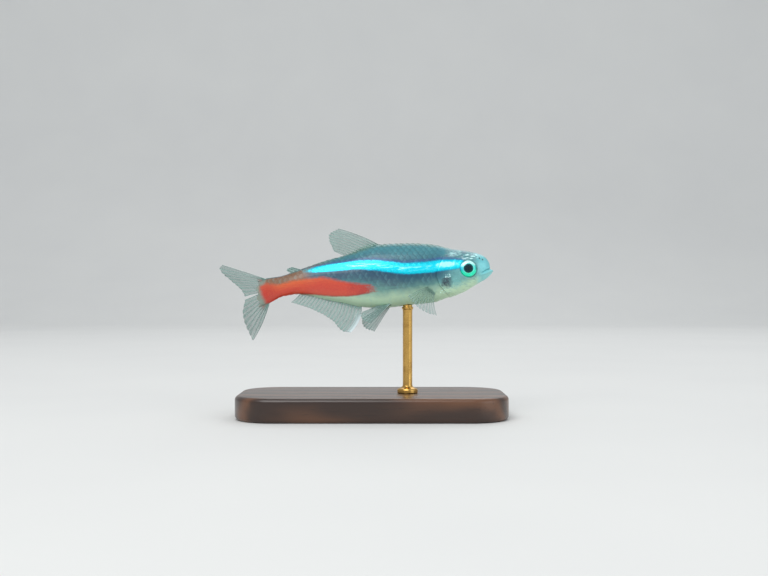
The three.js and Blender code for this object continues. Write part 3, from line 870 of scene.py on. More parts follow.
    def neon(self, skin: SkinShading, ground: Link) -> tuple[Link, Value, Value]:
        """The stripe: cyan with broken white streaks of painted highlight, a violet fringe above and deep
        blue edges.

        Args:
            skin: the material.
            ground: the colour below.

        Returns:
            The colour, how much of the stripe each place is and how strong its painted glow is.
        """
        s, stripe, grain, streak = skin.s, skin.stripe, skin.grain, skin.streak
        off = abs(stripe + streak * 0.3) + grain * 0.3
        tail_end = (s + grain * 4.0 + streak * 3.0).ease(24.4, 21.2)
        fade = tail_end * (s + grain * 0.5).ease(2.9, 3.6)
        band = off.ease(1.25, 0.85) * fade
        # painted highlight: white streaks along the stripe's middle and a white patch at its front over the
        # gill cover
        white = off.ease(0.55, 0.1) * (streak * 2.8 + 0.35).ease(0.25, 0.9) * s.ease(20.0, 17.0)
        white = white.most(skin.spot(5.5, 0.78, 1.5, 0.4) * 0.9) * band
        blue = skin.mix(self.stripe_edge, self.stripe, off.ease(1.15, 0.75))
        blue = skin.mix(blue, self.stripe_highlight_colour, white)
        fringe = abs(stripe - 1.2).ease(0.5, 0.0) * (streak + 0.55) * fade
        colour = skin.mix(ground, self.violet, fringe * 0.8)
        # painted glow: emission makes the stripe shine, most along its middle and its highlights
        painted_glow = (off.ease(1.0, 0.15) * 0.5 + 0.15).most(white * 0.9) * band
        return skin.mix(colour, blue, band), band, painted_glow

    def glints(self, skin: SkinShading, ground: Link) -> tuple[Link, Value]:
        """The head's broken painted highlights over eye, cheek and gill cover, a dark smudge and painted
        nostril shade.

        Args:
            skin: the material.
            ground: the colour below.

        Returns:
            The colour, and how bright each painted highlight is.
        """
        grain = skin.grain
        # painted highlights: broken arcs over the eye and the crown, glints on the gill cover and its lower
        # edge, and flecks on the head in front of the gill cover's edge
        arcs = skin.noise(skin.stretched(skin.place, (1.6, 2.0, 9.0)), 1.0, 3.0).ease(-0.08, 0.1)
        brow = skin.spot(2.5, 1.55, 1.5, 0.5) * arcs
        crown = skin.spot(4.4, 2.1, 1.2, 0.5) * arcs * 0.7
        broken = grain.ease(-0.02, 0.12)
        glint = skin.spot(5.5, -0.66, 0.7, 0.3) * broken
        throat = skin.spot(6.1, -2.6, 0.6, 0.3) * broken
        dots = skin.cells(skin.place, 6.5).ease(0.2, 0.1)
        flecks = dots * skin.behind_gill.ease(0.1, -0.2) * grain.ease(0.0, 0.15)
        smudge = skin.spot(5.6, -1.5, 0.9, 0.8) * (grain * 2.0 + 0.9)
        # painted sheen: a pale silver patch on the cheek
        cheek = skin.spot(4.5, -1.6, 0.9, 0.9) * (grain * 2.0 + 0.55)
        pits = skin.pit(0.82, 1.08).most(skin.pit(1.2, 1.26))
        colour = skin.mix(ground, self.smudge, smudge * 0.8)
        colour = skin.mix(colour, self.silver, cheek * 0.7)
        # painted shade darkens the inside of the nostril pits
        colour = skin.mix(colour, self.melanin, pits * 0.8)
        painted_highlight = brow.most(crown).most(glint).most(throat).most(flecks * 0.5)
        return skin.mix(colour, self.highlight_colour, painted_highlight * 0.75), painted_highlight

    def scale_marks(self, skin: SkinShading, ground: Link, bare: Value, red: Value) -> tuple[Link, Value]:
        """Each scale's dark rear rim, a painted silver gleam on it and its growth rings.

        Args:
            skin: the material.
            ground: the colour below.
            bare: how little of the stripe each place is.
            red: how red each place is.

        Returns:
            The colour, and the height of the rings.
        """
        along, across, lot = skin.field("scale")
        rim = along.ease(0.84, 0.98) * (bare * 0.8 + 0.2) * (1.0 - red * 0.6)
        colour = skin.mix(ground, self.melanin, rim * skin.level.ease(-0.9, 0.6) * 0.2)
        # painted sheen: a silver gleam across the rear of each scale, stronger on some scales than others
        gleam = along.ease(0.5, 0.8) * along.ease(0.95, 0.85) * (lot * 1.4 - 0.3).most(0.0)
        colour = skin.mix(colour, self.silver, gleam * 0.16 * (1.0 - red) * bare)
        rings = ((along * along * 1.3 + across * across * 0.42) ** 0.5 * 120.0).sine()
        return colour, rings * 0.07

    def build(self, name: str, scaled: bool) -> bpy.types.Material:
        """Makes the finish.

        Args:
            name: the material's name.
            scaled: whether the piece is a coat of scales, with a field of its own for each scale.

        Returns:
            The material.
        """
        skin = SkinShading(name)
        colour, red = self.redness(skin, self.shadows(skin, self.ground(skin)))
        colour, band, painted_glow = self.neon(skin, colour)
        colour, painted_highlight = self.glints(skin, colour)
        bare = 1.0 - band
        dots = skin.cells(skin.place, 5.5).ease(0.24, 0.1) * skin.level.ease(-0.1, 0.7)
        specks = skin.cells(skin.place, 13.0).ease(0.3, 0.15) * skin.level.ease(-0.8, 0.2)
        pigment = dots.most(specks * 0.4) * (1.0 - red * 0.7) * bare * (1.0 - painted_highlight)
        colour = skin.mix(colour, self.melanin, pigment * 0.3)
        height = skin.grain * 0.25 + skin.noise(skin.place, 16.0, 2.0) * 0.25
        if scaled:
            colour, rings = self.scale_marks(skin, colour, bare, red)
            height = height + rings
        return skin.finish(
            Base_Color=colour,
            Metallic=(band * 0.3).most(skin.on_head * 0.15),
            Roughness=self.roughness + skin.grain * 0.14 - band * 0.08,
            # emission paints a glow onto the stripe and, at half strength, onto the head's painted highlights
            Emission_Color=skin.mix(BLACK, colour, painted_glow.most(painted_highlight * 0.5)),
            Emission_Strength=self.painted_glow,
            Normal=skin.bump(height, 0.5, self.bump_height),
            Subsurface_Weight=self.flesh_glow,
            Subsurface_Radius=self.flesh_depth,
            Subsurface_Scale=self.flesh_scale,
            Coat_Weight=self.slime - band * 0.25,
            Coat_Roughness=self.slime_roughness,
            IOR=self.ior,
        )


@dataclass(frozen=True)
class IrisFinish:
    """A turquoise iris, emerald below and with painted white highlights flashing above, round a black pupil.
    """

    outer: Colour = srgb(8, 116, 108)
    inner: Colour = srgb(16, 214, 200)
    green: Colour = srgb(10, 238, 188)
    sky: Colour = srgb(60, 206, 232)
    # the white of the painted highlights over the iris, also laid faintly round the pupil's edge
    flash: Colour = srgb(216, 255, 252)
    dark: Colour = srgb(4, 30, 36)
    pupil_share: float = 0.5

    def build(self, name: str) -> bpy.types.Material:
        """Makes the finish from the field of the eye: across, up and distance from the middle, in radii.

        Args:
            name: the material's name.

        Returns:
            The material.
        """
        shade = Shading(name)
        across, up, out = shade.field("eye")
        own = shade.vector("eye")
        cloud = shade.noise(own, 3.0, 3.0)
        fleck = shade.noise(own, 9.0, 3.0, 0.65)
        colour = shade.mix(self.inner, self.outer, (out + cloud * 0.3).ease(0.66, 0.98))
        low = (up + cloud * 0.6).ease(0.0, -0.5) * out.ease(1.0, 0.85)
        colour = shade.mix(colour, self.green, low * 0.85)
        behind = (across + cloud * 0.5 - up * 0.4).ease(0.3, 0.7) * (up + cloud).ease(-0.5, 0.1)
        colour = shade.mix(colour, self.sky, behind * 0.8)
        # painted highlight: broken white arcs over the upper iris
        highlight_arc = abs(out - 0.76 + cloud * 0.1).ease(0.22, 0.1) * (up + cloud * 0.5).ease(0.15, 0.5)
        colour = shade.mix(colour, self.flash, highlight_arc * (fleck * 2.0 + 0.85))
        pupil_ring = abs(out - self.pupil_share - 0.07).ease(0.045, 0.0)
        colour = shade.mix(colour, self.flash, pupil_ring * 0.2)
        colour = shade.mix(colour, self.dark, fleck.ease(0.08, 0.3) * 0.5)
        colour = shade.mix(colour, self.dark, out.ease(self.pupil_share + 0.05, self.pupil_share))
        colour = shade.mix(colour, self.dark, out.ease(0.93, 1.0) * 0.7)
        return shade.finish(
            Base_Color=colour,
            Metallic=out.ease(0.5, 0.56) * 0.3,
            Roughness=0.3 + fleck * 0.16,
            # painted glow: emission lifts the iris outside the pupil though it is no lamp
            Emission_Color=shade.mix(BLACK, colour, out.ease(0.5, 0.6) * 0.7),
            Emission_Strength=0.5,
            Normal=shade.bump(fleck + cloud * 0.5, 0.5, 0.00003),
            Coat_Weight=0.3,
            Coat_Roughness=0.06,
        )


@dataclass(frozen=True)
class PupilFinish:
    """The lens's front in the pupil: nearly black, with teal painted in for the light seen in it."""

    middle: Colour = srgb(0, 54, 66)
    rim: Colour = srgb(4, 96, 110)
    roughness: float = 0.25
    gloss: float = 0.15

    def build(self, name: str) -> bpy.types.Material:
        """Makes the finish from the field of the eye.

        Args:
            name: the material's name.

        Returns:
            The material.
        """
        shade = Shading(name)
        _, _, out = shade.field("eye")
        cloud = shade.noise(shade.vector("eye"), 4.0)
        # painted light: teal in the pupil, paler towards its rim
        colour = shade.mix(self.middle, self.rim, (out + cloud * 0.1).ease(0.28, 0.5))
        roughness = self.roughness + cloud * 0.06
        return shade.finish(Base_Color=colour, Roughness=roughness, Specular_IOR_Level=self.gloss)


@dataclass(frozen=True)
class FilmFinish:
    """A clear wet film, such as the cornea: nothing but its own reflections."""

    tint: Colour = (0.97, 0.99, 1.0, 1.0)
    sheen: Colour = (1.0, 1.0, 1.0, 1.0)
    roughness: float = 0.03
    ior: float = 1.38

    def build(self, name: str) -> bpy.types.Material:
        """Makes the finish: a clear shader and a mirror, mixed by the film's own reflectance.

        Args:
            name: the material's name.

        Returns:
            The material.
        """
        shade = Shading(name)
        clear = shade.node("ShaderNodeBsdfTransparent", {}, {"Color": self.tint})
        mirror = shade.node("ShaderNodeBsdfGlossy", {}, {"Color": self.sheen, "Roughness": self.roughness})
        share = shade.node("ShaderNodeFresnel", {}, {"IOR": self.ior})
        inputs = {0: share.outputs[0], 1: clear.outputs[0], 2: mirror.outputs[0]}
        return shade.end(shade.node("ShaderNodeMixShader", {}, inputs).outputs[0])


@dataclass(frozen=True)
class FinFinish:
    """A thin milky membrane between paler, denser rays."""

    membrane: Colour = srgb(84, 130, 122)
    milk: Colour = srgb(146, 182, 174)
    ray: Colour = srgb(162, 190, 184)
    dusk: Colour = srgb(66, 92, 92)
    root: Colour = srgb(120, 160, 146)
    # the near-white of the painted highlight along the leading ray
    lead: Colour = srgb(222, 238, 242)
    root_share: float = 0.12
    lead_highlight_share: float = 0.0
    clearness: float = 0.7
    ray_density: float = 0.56
    thinnest: float = 0.12
    densest: float = 0.97

    def build(self, name: str) -> bpy.types.Material:
        """Makes the finish from the fields of the fin: ray, along and across, then joints, lead and lot.

        Args:
            name: the material's name.

        Returns:
            The material.
        """
        shade = Shading(name)
        ray, along, across = shade.field("web")
        joint, lead, _ = shade.field("ray")
        own = shade.own_place()
        cloud = shade.noise(shade.stretched(shade.vector("web"), (0.0, 4.0, 9.0)), 1.0, 3.0)
        grain = shade.noise(own, 4000.0, 2.0)
        web = shade.mix(self.membrane, self.milk, (cloud + 0.5 - along * 0.25).ease(0.3, 0.8))
        web = shade.mix(web, self.dusk, shade.cells(own, 5200.0).ease(0.2, 0.08) * 0.4)
        colour = shade.mix(web, self.ray, ray * (1.0 - joint * 0.35))
        near_root = (along + cloud * 0.06).ease(self.root_share * 1.6, self.root_share * 0.3)
        colour = shade.mix(colour, shade.mix(self.milk, self.root, across.ease(0.1, 0.5)), near_root)
        # painted highlight along the leading ray, only where its share is set, as on the anal fin
        bright = lead * (along + cloud * 0.3).ease(0.15, 0.5) * self.lead_highlight_share
        colour = shade.mix(colour, self.lead, bright)
        density = ray * self.ray_density + (1.0 - self.clearness)
        density = density + near_root * 0.4 + bright * 0.5 + cloud * 0.12
        return shade.finish(
            Base_Color=colour,
            Roughness=0.42 + grain * 0.12,
            Alpha=density.least(self.densest).most(self.thinnest),
            Normal=shade.bump(grain * 0.3 + joint * 0.5, 0.3, 0.00002),
            Coat_Weight=0.2,
            Coat_Roughness=0.2,
            IOR=1.4,
        )


@dataclass(frozen=True)
class WoodFinish:
    """Dark stained hardwood under satin varnish, with the grain along X."""

    light: Colour = srgb(104, 66, 40)
    dark: Colour = srgb(44, 25, 15)
    pore: Colour = srgb(20, 11, 7)

    def build(self, name: str) -> bpy.types.Material:
        """Makes the finish: wavering growth lines, pores drawn out along the grain and a satin coat.

        Args:
            name: the material's name.

        Returns:
            The material.
        """
        shade = Shading(name)
        place = shade.own_place()
        sway = shade.noise(shade.stretched(place, (40.0, 130.0, 130.0)), 1.0, 3.0)
        _, across, up = shade.parts(place)
        rings = (across * 1900.0 + up * 700.0 + sway * 14.0).sine()
        pores = shade.noise(shade.stretched(place, (260.0, 5200.0, 5200.0)), 1.0, 3.0, 0.7)
        colour = shade.mix(self.dark, self.light, (rings * 0.3 + sway + 0.5).ease(0.1, 1.0))
        colour = shade.mix(colour, self.pore, pores.ease(0.08, 0.24) * 0.7)
        return shade.finish(
            Base_Color=colour,
            Roughness=0.36 + pores * 0.2,
            Normal=shade.bump(pores * -0.6 + rings * 0.08, 0.3, 0.0001),
            Coat_Weight=0.35,
            Coat_Roughness=0.2,
        )


@dataclass(frozen=True)
class BrassFinish:
    """Brass, finely brushed round the rod."""

    bright: Colour = srgb(214, 172, 96)
    dull: Colour = srgb(164, 122, 62)

    def build(self, name: str) -> bpy.types.Material:
        """Makes the finish: fine scratches round the rod and slow dull clouds.

        Args:
            name: the material's name.

        Returns:
            The material.
        """
        shade = Shading(name)
        place = shade.own_place()
        scratch = shade.noise(shade.stretched(place, (600.0, 600.0, 30000.0)), 1.0, 2.0)
        cloud = shade.noise(place, 900.0, 3.0)
        return shade.finish(
            Base_Color=shade.mix(self.bright, self.dull, (cloud + scratch * 0.5 + 0.4).ease(0.2, 0.9)),
            Metallic=1.0,
            Roughness=0.26 + cloud * 0.14 + scratch * 0.1,
            Normal=shade.bump(scratch, 0.25, 0.00002),
        )


@dataclass(frozen=True)
class StageFinish:
    """Plain pale studio paper."""

    paper: Colour = srgb(228, 229, 227)
    shade: Colour = srgb(222, 223, 222)
    roughness: float = 0.8

    def build(self, name: str) -> bpy.types.Material:
        """Makes the finish, with faint wide clouds.

        Args:
            name: the material's name.

        Returns:
            The material.
        """
        shade = Shading(name)
        cloud = shade.noise(shade.own_place(), 30.0)
        colour = shade.mix(self.paper, self.shade, cloud + 0.5)
        return shade.finish(Base_Color=colour, Roughness=self.roughness)


def dress(piece: bpy.types.Object, slot: str, *nodes: str) -> bpy.types.Object:
    """Hangs a finished piece in the frame: it rides on the one body and replaces nodes.

    Args:
        piece: the object.
        slot: the record's material slot; not used.
        nodes: the solids that it stands for.

    Returns:
        The same object.
    """
    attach(piece, "root")
    if nodes:
        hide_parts(*nodes)
    faces = sum(len(face.vertices) - 2 for face in piece.data.polygons)
    LOG.info("%s: %d triangles", piece.name, faces)
    return piece


@dataclass(frozen=True)
class EyeSeat:
    """Where each eye sits in the head, and its size."""

    station: float = 2.82
    height: float = -0.18
    radius: float = 1.12
    depth: float = 0.72
    bulge: float = 0.24
    rim_radius: float = 1.15

    def middle(self, form: BodyForm) -> float:
        """How far out the eyeball's middle lies: the skin, plus the bulge, less the ball's half depth."""
        skin = form.point(np.array(self.station), np.array(0.0))[1]
        return float(skin) + self.bulge - self.depth

    def distance(self, points: Array) -> Array:
        """The distance from the eye's axis in the side view."""
        return np.hypot(points[..., 0] - self.station, points[..., 2] - self.height)


@dataclass(frozen=True)
class HeadRelief:
    """How far the head's skin stands out of the body's form: lips, nostrils, gill covers and cheek plates.

    Each method takes places in the straight frame and gives a height for each.
    """

    marks: Marks
    eye: EyeSeat
    mouth: Line = Line(((-1, 0.12), (-0.1, -0.1), (0.6, -0.42), (1.3, -0.82), (2.0, -1.22)))
    mouth_corner: float = 1.3
    slit: Roll = Roll(-0.15, -0.01, 0.035)
    upper_lip: Roll = Roll(0.075, 0.13, 0.09)
    lower_lip: Roll = Roll(0.12, -0.24, 0.13)
    jaw_bone: Roll = Roll(0.05, 0.0, 0.16)
    jaw_bone_ends: Points = ((0.95, -0.5), (1.75, -1.5))
    nostrils: Points = ((0.82, 1.0), (1.2, 1.16))
    nostril_rim: Roll = Roll(0.02, 0.19, 0.05)
    nostril_pit: Roll = Roll(-0.14, 0.0, 0.11)
    cover_lift: float = 0.1
    gill_slit: Roll = Roll(-0.12, 0.06, 0.055)
    front_seam: Roll = Roll(-0.03, -1.62, 0.05)
    front_rim: Roll = Roll(0.014, -1.5, 0.07)
    bone_seam: Roll = Roll(-0.03, 0.0, 0.045)
    bone_seam_ends: Points = ((5.0, -2.35), (6.7, -1.75))
    throat_folds: tuple[Roll, Roll] = (Roll(-0.03, -0.5, 0.05), Roll(-0.03, -0.85, 0.05))
    cheek_ring: Roll = Roll(-0.022, 1.95, 0.05)
    cheek_spoke: Roll = Roll(-0.018, 0.0, 0.09)
    orbit_roll: Roll = Roll(0.03, 0.1, 0.1)

    @staticmethod
    def from_segment(p: Array, ends: Points) -> Array:
        """The distance in the side view from a straight stretch.

        Args:
            p: places in the straight frame.
            ends: the stretch's two ends, as (station, height).

        Returns:
            The distance of each place.
        """
        start, end = np.array(ends)
        flat, way = p[..., [0, 2]] - start, end - start
        share = np.clip(flat @ way / np.dot(way, way), 0, 1)
        return np.linalg.norm(flat - share[..., None] * way, axis=-1)

    def lips(self, p: Array) -> Array:
        """Two rolls beside a slit that follows the mouth line and closes at its corner, and the jaw's bone.

        Args:
            p: places in the straight frame.

        Returns:
            The height at each place.
        """
        above = p[..., 2] - self.mouth(p[..., 0])
        front = 1 - ease(p[..., 0], self.mouth_corner - 0.35, self.mouth_corner + 0.05)
        bone = self.jaw_bone(self.from_segment(p, self.jaw_bone_ends)) * ease(-above, -0.5, 0.1)
        return (self.slit(above) + self.upper_lip(above) + self.lower_lip(above)) * front + bone

    def nostril_pits(self, p: Array) -> Array:
        """Two pits on each side of the snout, each in a low rim.

        Args:
            p: places in the straight frame.

        Returns:
            The height at each place.
        """
        height = np.zeros(p.shape[:-1])
        for station, up in self.nostrils:
            away = np.hypot(p[..., 0] - station, p[..., 2] - up)
            height += self.nostril_rim(away) + self.nostril_pit(away)
        return height * (p[..., 2] > 0)

    def gill_cover(self, p: Array) -> Array:
        """A plate that ends in a lip over the slit, with the seams of its bones and the throat's folds.

        Args:
            p: places in the straight frame.

        Returns:
            The height at each place.
        """
        behind, up = self.marks.behind_gill(p), p[..., 2]
        on_cover = ease(up, -3.7, -2.9) * (1 - ease(up, 1.2, 1.9))
        plate = self.cover_lift * ease(-behind, -0.01, 0.08) * (1 - 0.6 * ease(-behind, 0.5, 1.9))
        plate = plate + self.gill_slit(behind) + self.front_seam(behind) + self.front_rim(behind)
        seam = self.bone_seam(self.from_segment(p, self.bone_seam_ends)) * ease(-behind, 0.05, 0.15)
        folds = sum(fold(behind) for fold in self.throat_folds) * ease(-up, 2.9, 3.15)
        return plate * on_cover + seam + folds

    def cheek(self, p: Array) -> Array:
        """The plates below and behind the eye: a shallow ring seam, a few spokes and the orbit's roll.

        Args:
            p: places in the straight frame.

        Returns:
            The height at each place.
        """
        away = self.eye.distance(p)
        turn = np.arctan2(p[..., 2] - self.eye.height, p[..., 0] - self.eye.station)
        below = 1 - ease(turn, 0.3, 0.8)
        between = ease(away, 1.3, 1.45) * (1 - ease(away, 1.85, 1.95))
        spokes = self.cheek_spoke(np.sin(turn * 3.0 + 0.4)) * between
        return (self.cheek_ring(away) + spokes) * below + self.orbit_roll(away - self.eye.rim_radius)

    def __call__(self, p: Array) -> Array:
        """The whole relief of the head."""
        return self.lips(p) + self.nostril_pits(p) + self.gill_cover(p) + self.cheek(p)


@dataclass(frozen=True)
class Skin:
    """One skin from the lips to the tail fin, with the head's relief, orbits and the jutting lower jaw."""

    form: BodyForm
    marks: Marks
    relief: HeadRelief
    pose: SwimPose
    sides: int = 240
    snout_rings: int = 46
    snout_crowding: float = 1.9
    first_ring: float = 0.003
    head_step: float = 0.048
    trunk_step: float = 0.14
    snout_end: float = 1.35
    head_end: float = 7.4
    skirt: float = 0.6
    skirt_taper: float = 0.86
    skirt_drop: float = 0.1
    jaw_reach: float = 0.42
    scale_bed: float = 0.045
    orbit_wall: float = 0.1
    orbit_depth: float = 0.12
    flank_from: float = 0.5

    def stations(self) -> Array:
        """The rings' stations: crowded at the lips, fine over the head and wider over the trunk.

        Returns:
            The stations, from front to rear.
        """
        shares = np.linspace(0, 1, self.snout_rings) ** self.snout_crowding
        front = self.form.front
        snout = front + self.first_ring + (self.snout_end - front) * shares
        head = np.arange(snout[-1] + self.head_step, self.head_end, self.head_step)
        trunk = np.arange(head[-1] + self.trunk_step, self.form.length + self.skirt, self.trunk_step)
        return np.concatenate([snout, head, trunk])

    def shaped(self, s: Array, angle: Array) -> Array:
        """The skin's points: the form moved along its normals by the relief, then jaw, orbits and skirt.

        Args:
            s: stations, one row for each ring.
            angle: angles round the section.

        Returns:
            Places in the straight frame.
        """
        p = self.form.point(np.minimum(s, self.form.length), angle)
        along = np.gradient(p, axis=0)
        round_it = np.roll(p, -1, axis=1) - np.roll(p, 1, axis=1)
        out = unit(np.cross(along, round_it))
        middle = p.mean(axis=1, keepdims=True)
        out *= np.sign(np.sum(out * (p - middle), axis=-1, keepdims=True) + 1e-9)
        behind = self.marks.behind_gill(p)
        over_cover = ease(p[..., 2], 1.2, 2.0)
        bed = -self.scale_bed * ease(behind, 0.02 - 0.3 * over_cover, 0.2 + 0.4 * over_cover)
        off_nose = ease(s, self.form.front, self.form.front + 0.05)
        q = p + out * (bed + self.relief(p) * off_nose)[..., None]
        q[..., 0] -= self.jaw_shift(p)
        return self.with_skirt(self.with_orbits(q), s)

    def jaw_shift(self, p: Array) -> Array:
        """How far the lower jaw juts forward: most at the tip and none at the mouth's corner.

        Args:
            p: places in the straight frame.

        Returns:
            The shift of each place.
        """
        under = self.relief.mouth(p[..., 0]) - p[..., 2]
        below = ease(under, -0.02, 0.36) * (1 - 0.5 * ease(under, 0.3, 1.3))
        return self.jaw_reach * below * (1 - ease(p[..., 0], 0.05, self.relief.mouth_corner))

    def with_orbits(self, p: Array) -> Array:
        """Sinks the skin behind each eyeball, inside a steep round wall.

        Args:
            p: the skin's places.

        Returns:
            The same places, with the orbits sunk.
        """
        eye = self.relief.eye
        rim = eye.rim_radius + 0.01
        inside = 1 - ease(eye.distance(p), rim - self.orbit_wall, rim)
        out = np.abs(p[..., 1])
        sunk = np.minimum(out, eye.middle(self.form) - self.orbit_depth)
        p[..., 1] = np.sign(p[..., 1]) * np.where(out > self.flank_from, out + (sunk - out) * inside, out)
        return p

    def with_skirt(self, p: Array, s: Array) -> Array:
        """Draws the skin behind the body's end out into a thin skirt between the tail fin's roots.

        Args:
            p: the skin's places.
            s: their stations.

        Returns:
            The same places, with the skirt drawn out.
        """
        past = np.clip((s - self.form.length) / self.skirt, 0, 1)
        p[..., 0] += past * self.skirt
        p[..., 1] *= 1 - self.skirt_taper * past**0.8
        middle = self.form.middle(np.minimum(s, self.form.length))
        p[..., 2] = middle + (p[..., 2] - middle) * (1 - self.skirt_drop * past**2)
        return p

    def build(self, finish: HideFinish) -> bpy.types.Object:
        """Makes the skin.

        Args:
            finish: what it wears.

        Returns:
            The object.
        """
        stations = self.stations()
        angle = np.arange(self.sides) * 2 * np.pi / self.sides
        p = self.shaped(*np.broadcast_arrays(stations[:, None], angle[None, :]))
        tips = np.stack([p[0].mean(axis=0), p[-1].mean(axis=0)])
        tips[0, 0] = p[0, :, 0].max()
        points = np.vstack([p.reshape(-1, 3), tips])
        fields = self.marks.fields(points, self.form)
        piece = Piece(self.pose.place(points), capped_faces(len(stations), self.sides), fields)
        skin = piece.make("skin", finish.build("moist_skin", scaled=False))
        nodes = ("head", "lower_jaw", "gill_cover_right", "gill_cover_left", "trunk", "tail_stalk")
        return dress(skin, "flesh", *nodes)


class FlankMap:
    """Turns a way over the skin, measured up from the middle of the flank, into an angle of the section."""

    def __init__(self, form: BodyForm, start: float, stations: int = 160, angles: int = 121) -> None:
        """Measures the skin from belly to back at many stations, by adding up short steps.

        Args:
            form: the body.
            start: the first station.
            stations: at how many stations.
            angles: at how many angles, an odd number so that one is the middle.
        """
        self.table = np.linspace(start, form.length, stations)
        turn = np.linspace(-np.pi / 2, np.pi / 2, angles)
        ring = form.point(self.table[:, None], turn[None, :])
        steps = np.linalg.norm(np.diff(ring, axis=1), axis=-1)
        ways = np.concatenate([np.zeros((stations, 1)), np.cumsum(steps, axis=1)], axis=1)
        ways -= ways[:, [angles // 2]]
        self.to_back, self.to_belly = ways[:, -1], -ways[:, 0]
        whole = np.where(turn > 0, ways / self.to_back[:, None], ways / self.to_belly[:, None])
        self.shares = np.linspace(-1.0, 1.0, 81)
        self.turned = np.stack([np.interp(self.shares, row, turn) for row in whole])

    def share(self, s: Array, way: Array) -> Array:
        """A way as a share of the way to the back, or below 0 of the way to the belly."""
        back, belly = (np.interp(s, self.table, reach) for reach in (self.to_back, self.to_belly))
        return way / np.where(way > 0, back, belly)

    def angle(self, s: Array, way: Array) -> Array:
        """The angle at a way, between the nearest measured ones, and evenly on past the ends.

        Args:
            s: stations.
            way: ways up the flank.

        Returns:
            The angles.
        """
        share = self.share(s, way)
        last_row, last_column = len(self.table) - 1, len(self.shares) - 1
        row = np.clip(np.interp(s, self.table, np.arange(last_row + 1)), 0, last_row - 0.001)
        column = np.clip((share + 1) / 2 * last_column, 0, last_column - 0.001)
        i, j = row.astype(int), column.astype(int)
        u, v = row - i, column - j
        low = self.turned[i, j] * (1 - v) + self.turned[i, j + 1] * v
        high = self.turned[i + 1, j] * (1 - v) + self.turned[i + 1, j + 1] * v
        past = np.where(np.abs(share) > 1, share - np.sign(share), 0.0) * np.pi / 2
        return low * (1 - u) + high * u + past


